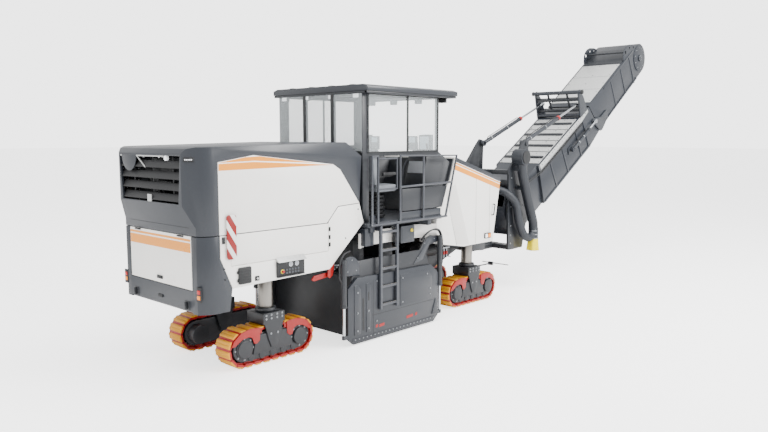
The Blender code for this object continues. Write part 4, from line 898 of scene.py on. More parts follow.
def fit_power_box(side, hand):
    """The square socket box and the small slot beside it."""
    y = BODY_HALF
    frame_part = flank_box(side, (-0.76, -0.56), (1.265, 1.49), 0.018, y - 0.002, y + 0.026, 0.006)
    ribs = [flank_box(side, (-0.735, -0.585), (z, z + 0.012), 0.004, y + 0.024, y + 0.03, 0.002)
            for z in (1.3, 1.335, 1.37, 1.405, 1.44)]
    hinge = [drum(at(-0.775, side * (y + 0.012), z), at(-0.775, side * (y + 0.012), z + 0.04), 0.008, 12)
             for z in (1.3, 1.41)]
    slot = flank_box(side, (-0.49, -0.42), (1.275, 1.34), 0.008, y - 0.002, y + 0.01, 0.003)
    finish([frame_part, slot] + ribs + hinge, f"socket_box_{hand}", "black")
    knob = stud(side, -0.455, 1.307, y + 0.008, y + 0.022, 0.014, 16)
    finish(knob, f"socket_cap_{hand}", "zinc")


def fit_control_panel(side, hand):
    """The ground-level control panel: a black tray under a grey visor, gauges, keys and a red stop button."""
    y = BODY_HALF
    tray = flank_box(side, (-0.13, 0.36), (1.262, 1.5), 0.02, y - 0.002, y + 0.03, 0.008)
    lip = flank_box(side, (-0.12, 0.35), (1.268, 1.282), 0.006, y + 0.028, y + 0.05, 0.003)
    finish([tray, lip], f"control_tray_{hand}", "black")
    visor = plate([(side * (y + 0.001), 1.502), (side * (y + 0.075), 1.478), (side * (y + 0.075), 1.486),
                   (side * (y + 0.001), 1.545)], "x", X0 - 0.135, X0 + 0.365, 0.003)
    finish(visor, f"control_visor_{hand}", "zinc")
    face = y + 0.03
    gauges, dials = [], []
    for x in (0.1, 0.21):
        gauges.append(stud(side, x, 1.435, face, face + 0.01, 0.036, 28))
        dials.append(stud(side, x, 1.435, face + 0.009, face + 0.012, 0.029, 24, 0.001))
    finish(gauges, f"gauge_rims_{hand}", "chrome")
    finish(dials, f"gauge_dials_{hand}", "grey")
    keys = []
    for row in range(2):
        for i in range(7):
            x = -0.09 + 0.052 * i
            z = 1.305 + 0.042 * row
            if i > 1 or row:
                keys.append(flank_box(side, (x, x + 0.034), (z, z + 0.026), 0.006, face - 0.001,
                                      face + 0.006, 0.002))
    finish(keys, f"control_keys_{hand}", "rail")
    collar = stud(side, -0.045, 1.345, face, face + 0.008, 0.03, 24)
    finish(collar, f"stop_collar_{hand}", "nozzle")
    button = stud(side, -0.045, 1.345, face + 0.006, face + 0.034, 0.02, 24, 0.006)
    finish(button, f"stop_button_{hand}", "red")


def fit_lever(side, hand):
    """The red towing lever at the drum housing, with its bright pin."""
    y = BODY_HALF - 0.055
    arm = side_plate_of(side, [(0.92, 1.41), (0.98, 1.44), (1.02, 1.4), (1.0, 1.33), (0.97, 1.14),
            (0.91, 1.1), (0.86, 1.13), (0.88, 1.3)], y, y + 0.022, 0.006)
    brace = side_plate_of(side, [(0.92, 1.12), (0.92, 1.19), (0.62, 1.17), (0.58, 1.12), (0.62, 1.09)],
                          y - 0.04, y - 0.015, 0.006)
    finish([arm, brace], f"tow_lever_{hand}", "red")
    pin = stud(side, 0.975, 1.395, y + 0.02, y + 0.036, 0.022, 20)
    finish(pin, f"tow_lever_pin_{hand}", "zinc")


# ---- platform


def cushion(start, end, crown, lean=0.0):
    """A padded block: subdivided, its faces crowned outwards and its sides drawn in, then smoothed."""
    deselect()
    start, end = Vector(start), Vector(end)
    size = [abs(b - a) for a, b in zip(start, end)]
    middle_point = (start + end) / 2
    bpy.ops.mesh.primitive_cube_add(size=1, location=(0, 0, 0), scale=size)
    obj = settle(bpy.context.object)
    with editing():
        bpy.ops.mesh.bevel(offset=min(size) * 0.28, segments=3, affect="EDGES")
        bpy.ops.mesh.select_all(action="SELECT")
        bpy.ops.mesh.subdivide(number_cuts=3, smoothness=0)
    thin = size.index(min(size))
    others = [i for i in range(3) if i != thin]
    for vertex in obj.data.vertices:
        share = [1 - (2 * vertex.co[i] / size[i]) ** 2 for i in others]
        vertex.co[thin] *= 1 + crown * max(0, share[0]) * max(0, share[1])
        pull = 1 - 0.05 * (1 - min(1, abs(2 * vertex.co[thin] / size[thin])))
        for i in others:
            vertex.co[i] *= pull
    only(obj)
    smooth = obj.modifiers.new("smooth", "SUBSURF")
    smooth.levels = smooth.render_levels = 1
    bpy.ops.object.modifier_apply(modifier=smooth.name)
    turn = Matrix.Rotation(lean, 4, "Y")
    obj.data.transform(Matrix.Translation(middle_point) @ turn)
    return obj


def fit_seats():
    """Makes the two seats: padded cushion, back and armrests on a bellows base"""
    for side, hand in SIDES:
        node = f"seat_{hand}"
        body = body_of(node)
        y, foot = middle(node, "y"), low(node, "z")
        x = X0 + 2.28
        seat = cushion((x - 0.24, y - 0.23, 2.315), (x + 0.24, y + 0.23, 2.425), 0.22)
        back = cushion((x - 0.295, y - 0.215, 2.42), (x - 0.185, y + 0.215, 2.93), 0.25, radians(-8))
        finish(seat, f"{node}_cushion", "seat", body, (node,), 60)
        finish(back, f"{node}_back", "seat", body, (), 60)
        arms = [cushion((x - 0.16, y + k * 0.265 - 0.03, 2.58), (x + 0.16, y + k * 0.265 + 0.03, 2.63),
                        0.1) for k in (-1, 1)]
        finish(arms, f"{node}_armrests", "black", body, (), 60)
        folds = [drum((x, y, foot + 0.02 + 0.062 * i), (x, y, foot + 0.075 + 0.062 * i),
                      0.115 if i % 2 else 0.128, 32, 0.016, 3) for i in range(6)]
        finish(folds, f"{node}_bellows", "rubber", body)
        pan = [block((x - 0.22, y - 0.21, 2.375 - 0.075), (x + 0.22, y + 0.21, 2.325), 0.01)]
        for k in (-1, 1):
            pan.append(tube([(x - 0.23, y + k * 0.25, 2.33), (x - 0.23, y + k * 0.25, 2.565),
                             (x + 0.1, y + k * 0.25, 2.575)], 0.014, 0.05))
        finish(pan, f"{node}_pan", "black", body)
        stitch = [tube([(x - 0.2, y + k * 0.1, 2.437), (x, y + k * 0.1, 2.4445),
                        (x + 0.2, y + k * 0.1, 2.437)], 0.0022, 0.04, 2) for k in (-1, 1)]
        finish(stitch, f"{node}_seams", "black", body)


def fit_consoles():
    """Fits the consoles: screens in their cases, key pads, joysticks and grab rails"""
    for side, hand in SIDES:
        ys = sorted((side * 0.6, side * 0.86))
        case = block(at(3.405, ys[0], 2.945), at(3.455, ys[1], 3.235), 0.012)
        small = block(at(3.395, side * 0.36, 2.965), at(3.44, side * 0.56, 3.215), 0.012)
        neck = block(at(3.43, side * 0.44, 2.86), at(3.46, side * 0.5, 3.0), 0.006)
        arm = block(at(3.44, side * 0.44, 2.92), at(3.48, side * 0.72, 2.96), 0.006)
        finish([case, small, neck, arm], f"screen_cases_{hand}", "black")
        face = block(at(3.4025, ys[0] + 0.03, 2.985), at(3.406, ys[1] - 0.03, 3.205), 0.001)
        tiny = sorted((side * 0.39, side * 0.53))
        face_small = block(at(3.3925, tiny[0], 3.1), at(3.396, tiny[1], 3.195), 0.001)
        finish([face, face_small], f"screens_{hand}", "screen")
        keys = [block(at(3.39, side * (0.405 + 0.045 * i), 2.99 + 0.035 * j),
                      at(3.396, side * (0.435 + 0.045 * i), 3.012 + 0.035 * j), 0.002) for i in range(3)
                for j in range(3)]
        finish(keys, f"screen_keys_{hand}", "grey")
        top = [at(3.17, 0, 2.56), at(3.25, 0, 2.915), at(3.49, 0, 2.975)]
        panel = plate([(top[0].x - 0.006, 2.58), (top[1].x - 0.006, 2.93), (top[1].x + 0.01, 2.93),
                       (top[0].x + 0.01, 2.58)], "y", side * 0.55, side * 0.9, 0.003)
        finish(panel, f"console_plate_{hand}", "grey")
        sticks = []
        for y in (0.62, 0.84):
            base = at(3.36, side * y, 2.94)
            sticks.append(drum(base, base + Vector((-0.006, 0, 0.05)), 0.032, 20, 0.01, 3, 0.016))
            sticks.append(drum(base + Vector((-0.006, 0, 0.045)), base + Vector((-0.02, 0, 0.15)), 0.016,
                               16, 0.006, 3, 0.021))
        finish(sticks, f"joysticks_{hand}", "rubber")
        rail = tube([at(3.1, side * 0.5, 1.872), at(3.1, side * 0.5, 2.66), at(3.22, side * 0.5, 2.8)],
                    sizes().tube * 0.8, 0.08)
        finish(rail, f"console_rail_{hand}", "rail")


def fit_platform():
    """Fits the platform: toe boards, gates, switch boxes, window frames and the canopy's trims and lamps"""
    for side, hand in SIDES:
        edge = [side_plate_of(side, rect((2.34, 3.4), (1.871, 1.985)), 1.098, 1.112),
                side_plate_of(side, rect((1.63, 1.78), (1.871, 1.985)), 1.098, 1.112)]
        finish(edge, f"toe_board_{hand}", "slate")
        infill = side_plate_of(side, [(2.4, 2.0), (3.44, 2.0), (3.58, 2.36), (2.4, 2.36)], 1.102, 1.108,
                               0.002)
        finish(infill, f"rail_sheet_{hand}", "slate_dark")
        gate = [tube([at(1.83, side * RAIL_Y, z), at(2.29, side * RAIL_Y, z)], sizes().tube * 0.75, 0)
                for z in (2.38, 2.86)]
        gate += [tube([at(x, side * RAIL_Y, 2.38), at(x, side * RAIL_Y, 2.86)], sizes().tube * 0.75, 0)
                 for x in (1.84, 2.28)]
        finish(gate, f"entry_gate_{hand}", "rail")
        steps_ = []
        for i in range(4):
            z = low(f"ladder_{hand}", "z") + 0.05 + 0.29 * i
            for k in range(9):
                x = 1.885 + 0.041 * k
                steps_.append(block(at(x, side * 1.126, z + 0.034), at(x + 0.018, side * 1.157, z + 0.041),
                                    0.002, 1))
        finish(steps_, f"ladder_grips_{hand}", "steel")
        box_ = flank_box(side, (2.44, 2.78), (1.46, 1.74), 0.015, 0.86, 1.05, 0.008)
        cover = flank_box(side, (2.465, 2.755), (1.485, 1.715), 0.01, 1.046, 1.056, 0.004)
        tall = flank_box(side, (1.6, 1.8), (1.5, 1.79), 0.015, 0.9, 1.05, 0.008)
        finish([box_, cover, tall], f"switch_box_{hand}", "slate")
        knob = [stud(side, 2.7, 1.66, 1.055, 1.062, 0.026, 20),
                flank_box(side, (2.692, 2.708), (1.636, 1.684), 0.005, 1.06, 1.082, 0.003)]
        finish(knob, f"main_switch_{hand}", "nozzle")
        fit_window_frame(side, hand)
    dress_canopy()


def fit_window_frame(side, hand):
    """The rubber edge round a side window and the post that splits it."""
    z = high("dashboard", "z") - 0.29, 3.895
    strips = []
    for x in ((1.705, 1.73), (2.615, 2.66), (3.405, 3.435)):
        strips.append(side_plate_of(side, [(x[0], z[0]), (x[1], z[0]), (x[1], z[1]), (x[0], z[1])], 1.01,
                1.018, 0.002))
    for band in ((z[0], z[0] + 0.022), (z[1] - 0.045, z[1])):
        strips.append(side_plate_of(side, [(1.71, band[0]), (3.43, band[0]), (3.43, band[1]),
                (1.71, band[1])], FRONT_FACE, 1.0165, 0.002))
    finish(strips, f"window_frame_{hand}", "black")


def dress_canopy():
    """The canopy's gutter, stiffening ribs, hatch and work lamps."""
    gutter = []
    for side, _ in SIDES:
        gutter.append(block(at(1.585, side * 1.06, 3.862), at(3.8, side * 1.115, 3.898), 0.006))
    for x in (1.585, 3.755):
        gutter.append(block(at(x, -1.11, 3.862), at(x + 0.045, 1.11, 3.898), 0.006))
    for x in (2.1, 2.65, 3.2):
        gutter.append(block(at(x, -1.06, 3.868), at(x + 0.05, 1.06, 3.898), 0.006))
    finish(gutter, "canopy_gutter", "slate_dark")
    ribs = [block(at(1.64, y - 0.05, 3.996), at(3.76, y + 0.05, 4.014), 0.007)
            for y in (-0.72, -0.24, 0.24, 0.72)]
    hatch = block(at(2.35, -0.17, 3.998), at(2.95, 0.17, 4.03), 0.012)
    finish(ribs + [hatch], "canopy_ribs", "slate")
    cases, lenses = [], []
    for x, way in ((1.6, -1), (3.78, 1)):
        for y in (-0.86, -0.3, 0.3, 0.86):
            ends = sorted((x, x - way * 0.06))
            cases.append(block(at(ends[0], y - 0.07, 3.79), at(ends[1], y + 0.07, 3.868), 0.01))
            lenses.append(block(at(x - way * 0.004, y - 0.058, 3.8), at(x + way * 0.005, y + 0.058, 3.858),
                                0.003))
    finish(cases, "canopy_lamp_cases", "black")
    finish(lenses, "canopy_lamp_lenses", "lens")
    bars = []
    for y in (-0.335, 0.335):
        bars.append(block(at(1.585, y - 0.035, 2.95), at(1.598, y + 0.035, 3.87), 0.003))
    bars.append(block(at(1.583, -0.985, 2.945), at(1.6, 0.985, 2.985), 0.003))
    finish(bars, "rear_window_bars", "black")


# ---- front body


def slope_band(side, near, far, thick, x_start=3.94, x_end=5.38):
    """A strip that runs along the front body's sloping top, between two depths below it."""

    def edge(depth):
        rear = x_start - 0.36 * depth + 0.006, 2.84 - depth - 0.0018
        return rear, (x_end - 0.2 * depth - 0.004, 2.41 - depth)
    (a, b), (c, d) = (edge(near), edge(far))
    return side_plate_of(side, [a, b, d, c], FRONT_FACE, 1.01 + thick, min(0.003, thick / 3))


def fit_front_body():
    """Fits the front body: dark trim, stripes, seams, a plate of painted shade on a facet, sill, handle,
    lamp, couplings and lid
    """
    film = sizes().decal
    for side, hand in SIDES:
        finish(slope_band(side, -0.004, 0.066, 0.006), f"front_trim_{hand}", "slate")
        bands = [slope_band(side, near, far, film) for near, far in ((0.08, 0.104), (0.12, 0.205))]
        finish(bands, f"front_stripes_{hand}", "orange")
        seams = []
        for x, top in ((4.58, 2.42), (5.02, 2.3)):
            seams.append(side_plate_of(side, rect((x, x + 0.005), (1.225, top)), FRONT_FACE, 1.0108, 0))
        seams.append(side_plate_of(side, [(3.66, 2.26), (3.664, 2.252), (4.004, 1.26), (3.998, 1.256)],
                FRONT_FACE, 1.0108, 0))
        finish(seams, f"front_seams_{hand}", "black")
        # Painted shade: a darker white plate stands in for the shading of a shallow sloping facet that is not
        # modelled.
        facet = side_plate_of(side, [(3.67, 2.26), (3.95, 2.36), (4.38, 1.226), (4.01, 1.262)], FRONT_FACE,
                              1.013, 0.001)
        finish(facet, f"front_facet_painted_shade_{hand}", "pale")
        sill = side_plate_of(side, [(3.43, 1.348), (4.21, 1.216), (5.13, 1.216), (5.12, 1.196),
                (4.2, 1.196), (3.43, 1.326)], 0.955, 1.006, 0.004)
        finish(sill, f"front_sill_{hand}", "slate_dark")
        grip = tube([at(5.1, side * 1.008, 1.72), at(5.1, side * 1.055, 1.72), at(5.14, side * 1.055, 1.92),
                     at(5.14, side * 1.008, 1.92)], 0.011, 0.03)
        finish(grip, f"front_handle_{hand}", "black")
        case = flank_box(side, (4.86, 5.06), (1.285, 1.385), 0.012, 1.006, 1.03, 0.005)
        finish(case, f"front_lamp_case_{hand}", "black")
        lens = flank_box(side, (4.965, 5.045), (1.3, 1.37), 0.012, 1.028, 1.038, 0.004)
        finish(lens, f"front_lamp_amber_{hand}", "amber")
        lens = flank_box(side, (4.875, 4.95), (1.3, 1.37), 0.012, 1.028, 1.035, 0.003)
        finish(lens, f"front_lamp_clear_{hand}", "lens")
        fittings, caps = [], []
        for i in range(4):
            x = 3.62 + 0.075 * i
            fittings.append(drum(at(x, side * 0.9, 1.1), at(x, side * 0.9, 1.16), 0.02, 16))
            caps.append(drum(at(x, side * 0.9, 1.158), at(x, side * 0.9, 1.225), 0.014, 6))
            caps.append(drum(at(x, side * 0.9, 1.04), at(x, side * 0.9, 1.102), 0.013, 12))
        finish(fittings, f"front_couplings_{hand}", "red")
        caps.append(block(at(3.58, side * 0.86, 1.215), at(3.89, side * 0.94, 1.245), 0.005))
        finish(caps, f"front_coupling_bodies_{hand}", "bolt")
    cover = plate([(X0 + 3.97, 2.836), (X0 + 5.33, 2.43), (X0 + 5.333, 2.44), (X0 + 3.973, 2.846)], "y",
                  -0.9, 0.9, 0.003)
    finish(cover, "front_lid", "white")
    grips = [tube([at(x, y - 0.07, z), at(x, y - 0.07, z + 0.04), at(x, y + 0.07, z + 0.04),
                   at(x, y + 0.07, z)], 0.009, 0.02) for x, z in ((4.3, 2.745), (5.0, 2.535))
             for y in (-0.6, 0.6)]
    finish(grips, "front_lid_grips", "black")


# ---- milling gear


def fit_side_plates():
    """Fits the side plates: bolted wear strip, slot guide, raised sheets, chrome rods and marks"""
    y = PLATE_OUT
    for side, hand in SIDES:
        body = f"{hand}_side_plate"
        strip = side_plate_of(side, [(1.3, 0.036), (3.22, 0.036), (3.26, 0.066), (3.26, 0.11), (1.26, 0.11),
                (1.26, 0.066)], y - 0.001, y + 0.004, 0.001)
        sheets = [side_plate_of(side, [(2.36, 0.44), (3.18, 0.44), (3.18, 0.82), (3.06, 0.96),
                (2.36, 0.96)], y - 0.001, y + 0.005, 0.002), side_plate_of(side,
                [(1.3, 0.16), (1.44, 0.16), (1.44, 0.86), (1.38, 0.94), (1.3, 0.94)], y - 0.001, y + 0.009,
                0.003), side_plate_of(side, [(1.56, 0.16), (1.66, 0.16), (1.66, 0.9), (1.62, 0.94),
                (1.56, 0.94)], y - 0.001, y + 0.009, 0.003), side_plate_of(side,
                [(3.18, 0.15), (3.33, 0.15), (3.33, 0.3), (3.28, 0.42)], y - 0.001, y + 0.007, 0.003)]
        finish([strip] + sheets, f"plate_sheets_{hand}", "slate", body)
        slots = [flank_box(side, (1.482, 1.52), (0.2, 0.72), 0.018, y - 0.001, y + 0.002, 0.0005),
                 flank_box(side, (1.595, 1.625), (0.66, 0.8), 0.014, y + 0.008, y + 0.0105, 0.0005),
                 side_plate_of(side, rect((1.7, 3.2), (0.405, 0.411)), y - 0.001, y + 0.0015, 0),
                 side_plate_of(side, rect((1.72, 1.726), (0.12, 0.98)), y - 0.001, y + 0.0015, 0)]
        finish(slots, f"plate_slots_{hand}", "black", body)
        spots = [(1.32 + 0.0865 * i, 0.088) for i in range(23)]
        low_bolts = flank_bolts(side, spots, y + 0.004, 0.0085)
        near = [(1.37, z) for z in (0.22, 0.5, 0.82)] + [(1.61, z) for z in (0.22, 0.5)]
        high_bolts = flank_bolts(side, near, y + 0.009, 0.011)
        sheet_bolts = flank_bolts(side, [(3.13, 0.52), (3.13, 0.62), (3.05, 0.88), (2.42, 0.5), (2.42, 0.9),
                (1.8, 0.94), (1.8, 0.3)], y + 0.004, 0.01)
        finish([low_bolts, high_bolts, sheet_bolts], f"plate_bolts_{hand}", "bolt", body)
        marks = [side_plate_of(side, [(a, b), (a + w, b + 0.01), (a + w, b + 0.055), (a, b + 0.045)],
                               y - 0.001, y + 0.0018, 0) for a, b,
                 w in ((1.78, 0.19, 0.05), (1.86, 0.185, 0.12), (2.52, 0.2, 0.16), (2.74, 0.21, 0.05))]
        finish(marks, f"plate_marks_{hand}", "red", body)
        rods, clamps = [], []
        for x, top in ((ROD_REAR_X, 1.36), (ROD_FRONT_X, 1.5)):
            rods.append(drum(at(x, side * ROD_Y, 0.195), at(x, side * ROD_Y, 0.815), 0.0227, 24, 0.002))
            clamps.append(drum(at(x, side * ROD_Y, 0.622), at(x, side * ROD_Y, 0.665), 0.05, 24, 0.004))
            clamps.append(drum(at(x, side * ROD_Y, top - 0.05), at(x, side * ROD_Y, top + 0.004), 0.049, 24,
                               0.006))
        finish(rods, f"plate_rods_{hand}", "chrome", body)
        bands = joined(clamps)
        for x in (ROD_REAR_X, ROD_FRONT_X):
            cut_away(bands, drum(at(x, side * ROD_Y, 0.5), at(x, side * ROD_Y, 0.7), 0.031, 24, 0))
        finish(bands, f"plate_cylinder_caps_{hand}", "slate_dark")


def cut_away(obj, cutter):
    """Takes the cutter's shape out of a piece, and removes the cutter."""
    only(obj)
    cut = obj.modifiers.new("cut", "BOOLEAN")
    cut.operation = "DIFFERENCE"
    cut.solver = "EXACT"
    cut.object = cutter
    bpy.ops.object.modifier_apply(modifier=cut.name)
    bpy.data.objects.remove(cutter)
    return obj


def fit_housing():
    """Fits the drum housing: round cover, gooseneck sheet, bolts, hoses, frame pipes and water filters"""
    for side, hand in SIDES:
        cap = [(1.27 + 0.2 * cos(a), 1.19 + 0.2 * sin(a)) for a in [pi * i / 12 for i in range(13)]]
        cover = side_plate_of(side, [(1.47, 1.06)] + cap + [(1.17, 1.1)], *HOUSING_SHEET, 0.002)
        neck = side_plate_of(side, [(2.74, 1.07), (3.0, 1.13), (3.16, 1.39), (3.4, 1.425), (3.4, 1.47),
                (3.2, 1.5), (3.08, 1.46), (2.95, 1.27)], *HOUSING_SHEET, 0.002)
        finish([cover, neck], f"housing_sheets_{hand}", "slate")
        spots = [(1.22, 1.16), (1.4, 1.16), (1.31, 1.33), (2.86, 1.17), (3.04, 1.4), (3.3, 1.455)]
        finish(flank_bolts(side, spots, 1.0548, 0.007), f"housing_bolts_{hand}", "bolt")
        hoses = []
        for i in range(2):
            y = side * (1.066 + 0.026 * i)
            lift = 0.012 * i
            hoses.append(tube([at(2.96, y - side * 0.03, 1.46), at(3.05, y, 1.56 + lift),
                               at(3.22, y, 1.62 + lift), at(3.4, y, 1.6 + lift), at(3.48, y, 1.46),
                               at(3.486, y, 1.04), at(3.466, y, 0.97)], 0.012, 0.12))
        hoses.append(tube([at(1.064, side * ROD_Y, 1.02), at(1.015, side * ROD_Y, 1.08),
                           at(1.015, side * ROD_Y, 1.3), at(1.1, side * ROD_Y, 1.45),
                           at(1.28, side * 1.04, 1.47)], 0.012, 0.1))
        finish(hoses, f"housing_hoses_{hand}", "rubber")
        pipes = [tube([at(0.98 + 0.03 * i, side * (0.78 - 0.05 * i), 1.62),
                       at(0.98 + 0.03 * i, side * (0.78 - 0.05 * i), 1.25 - 0.04 * i),
                       at(1.3, side * (0.78 - 0.05 * i), 1.22 - 0.04 * i)], 0.014, 0.06) for i in range(3)]
        pipes += [tube([at(0.1, side * (0.4 - 0.06 * i), 1.48), at(1.45, side * (0.4 - 0.06 * i), 1.48)],
                       0.013, 0) for i in range(3)]
        finish(pipes, f"frame_pipes_{hand}", "bolt")
        tanks = [drum(at(3.62, side * 0.34, 1.1), at(4.2, side * 0.34, 1.1), 0.13, 28, 0.02, 3)]
        finish(tanks, f"water_filter_{hand}", "black")


def fit_engine():
    """Fits the engine under the hood: covers, charge pipes, air cleaners, silencer and cooler shroud"""
    covers = [block(at(-0.45, side * 0.12, 2.545), at(0.6, side * 0.34, 2.64), 0.02) for side, _ in SIDES]
    finish(covers, "rocker_covers", "grey")
    filters = [drum(at(0.95, y, 2.62), at(1.4, y, 2.62), 0.15, 32, 0.012) for y in (-0.55, 0.55)]
    finish(filters, "air_cleaners", "black")
    pipes = [tube([at(-0.98, side * 0.55, 2.4), at(-0.7, side * 0.58, 2.45), at(-0.4, side * 0.52, 2.72),
                   at(0.3, side * 0.46, 2.74), at(0.98, side * 0.55, 2.62)], 0.055, 0.15) for side,
             _ in SIDES]
    finish(pipes, "charge_pipes", "rubber")
    muffler = [drum(at(-0.35, 0.0, 2.76), at(0.65, 0.0, 2.76), 0.105, 32, 0.02, 3)]
    finish(muffler, "muffler", "steel")
    shroud = block(at(-1.02, -0.7, 1.95), at(-0.985, 0.7, 2.9), 0.008)
    finish(shroud, "cooler_shroud", "slate_dark")


# ---- conveyor


def fit_conveyor():
    """Fits the lower conveyor: covers, flanges, ribs, pipes, return belt and the goalpost's cross bars"""
    body = "lower_conveyor"
    covers, ribs_across, spots = [], [], []
    for i in range(4):
        u = 1.3 + 0.49 * i
        covers.append(belt_plate(rect((u, u + 0.46), (0.459, 0.47)), -0.51, 0.51, 0.003))
        ribs_across.append(belt_plate([(u + 0.19, 0.469), (u + 0.27, 0.469), (u + 0.26, 0.5),
                (u + 0.2, 0.5)], -0.5, 0.5, 0.003))
        spots += [belt(u + du, y, 0.47) for du in (0.05, 0.41) for y in (-0.48, -0.24, 0.24, 0.48)]
    finish(covers, "conveyor_covers", "zinc", body)
    finish(ribs_across, "conveyor_cover_ribs", "slate_dark", body)
    up = belt(0, 0, 1) - belt(0, 0, 0)
    finish(bolt_heads(spots, up, 0.011), "conveyor_cover_bolts", "bolt", body)
    for side, hand in SIDES:
        flange = belt_plate([(1.24, 0.3), (3.1, 0.3), (3.72, 0.385), (3.72, 0.462), (1.24, 0.462)],
                            side * BELT_SIDE, side * 0.57, 0.003)
        foot = belt_plate(rect((1.05, 3.46), (-0.4, -0.35)), side * BELT_SIDE, side * 0.574, 0.003)
        bolts = bolt_heads([belt(1.32 + 0.125 * i, side * 0.57, 0.424) for i in range(19)], (0, side, 0),
                           0.01)
        finish(flange, f"conveyor_flange_{hand}", "zinc", body)
        finish(bolts, f"conveyor_flange_bolts_{hand}", "bolt", body)
        ribs = [foot]
        for u in (1.62, 2.22, 2.94, 3.36):
            ribs.append(belt_plate(rect((u, u + 0.05), (-0.352, 0.296)), side * BELT_SIDE, side * 0.576,
                                   0.004))
        ribs.append(belt_plate([(2.42, -0.02), (2.7, -0.02), (2.66, 0.13), (2.46, 0.13)], side * BELT_SIDE,
                               side * 0.59, 0.005))
        finish(ribs, f"conveyor_ribs_{hand}", "slate", body)
        lines = [tube([belt(0.6, side * 0.525, 0.4), belt(1.2, side * 0.585, 0.33),
                       belt(3.3, side * 0.585, 0.33)], 0.01, 0.08),
                 tube([belt(0.6, side * 0.525, 0.36), belt(1.2, side * 0.585, 0.29),
                       belt(3.3, side * 0.585, 0.29)], 0.01, 0.08)]
        finish(lines, f"conveyor_pipes_{hand}", "black", body)
    cleats = [belt_plate(rect((-0.02, 3.66), (-0.325, -0.31)), -0.42, 0.42, 0.002)]
    for i in range(11):
        u = 0.15 + 0.32 * i
        cleats.append(belt_plate([(u, -0.311), (u + 0.03, -0.311), (u + 0.022, -0.265),
                                  (u + 0.008, -0.265)], -0.4, 0.4, 0.003))
    finish(cleats, "conveyor_belt_lower", "rubber", body)
    bars = [belt_plate(rect((3.44, 3.54), (0.83, 0.89)), -0.556, 0.556, 0.006),
            belt_plate(rect((3.4, 3.5), (0.575, 0.635)), -0.556, 0.556, 0.006)]
    for y in (-0.25, 0.25):
        bars.append(belt_plate([(3.48, 0.6), (3.52, 0.6), (3.54, 1.02), (3.5, 1.02)], y - 0.02, y + 0.02,
                               0.004))
    finish(bars, "goalpost_bars", "slate_dark", body)
    end_caps = [drum(belt(3.53, k * 0.64, 1.02), belt(3.53, k * 0.668, 1.02), 0.052, 24, 0.006)
                for k in (-1, 1)]
    finish(end_caps, "goalpost_caps", "black", body)


def top_of_head(u):
    """How far the head's sloping top stands off the belt line."""
    return 0.48 + (u - 3.84) * 0.12 / 3.04


def fit_ear(side, hand):
    """The rounded shield that rises beside the head pulley, with its three openings."""
    outline = [(5.98, 0.3), (6.02, 0.62), (6.1, 0.74), (6.2, 0.81), (6.34, 0.835), (6.5, 0.8), (6.7, 0.7),
               (6.92, 0.53), (7.02, 0.4), (6.9, 0.24)]
    ear = belt_plate(outline, side * 0.535, side * 0.5585, 0.005)
    for u, n, radius in ((6.2, 0.715, 0.045), (6.46, 0.715, 0.035), (6.68, 0.63, 0.03)):
        cut_away(ear, drum(belt(u, side * 0.5, n), belt(u, side * 0.6, n), radius, 24, 0))
    finish(ear, f"head_ear_{hand}", "slate", "upper_conveyor")


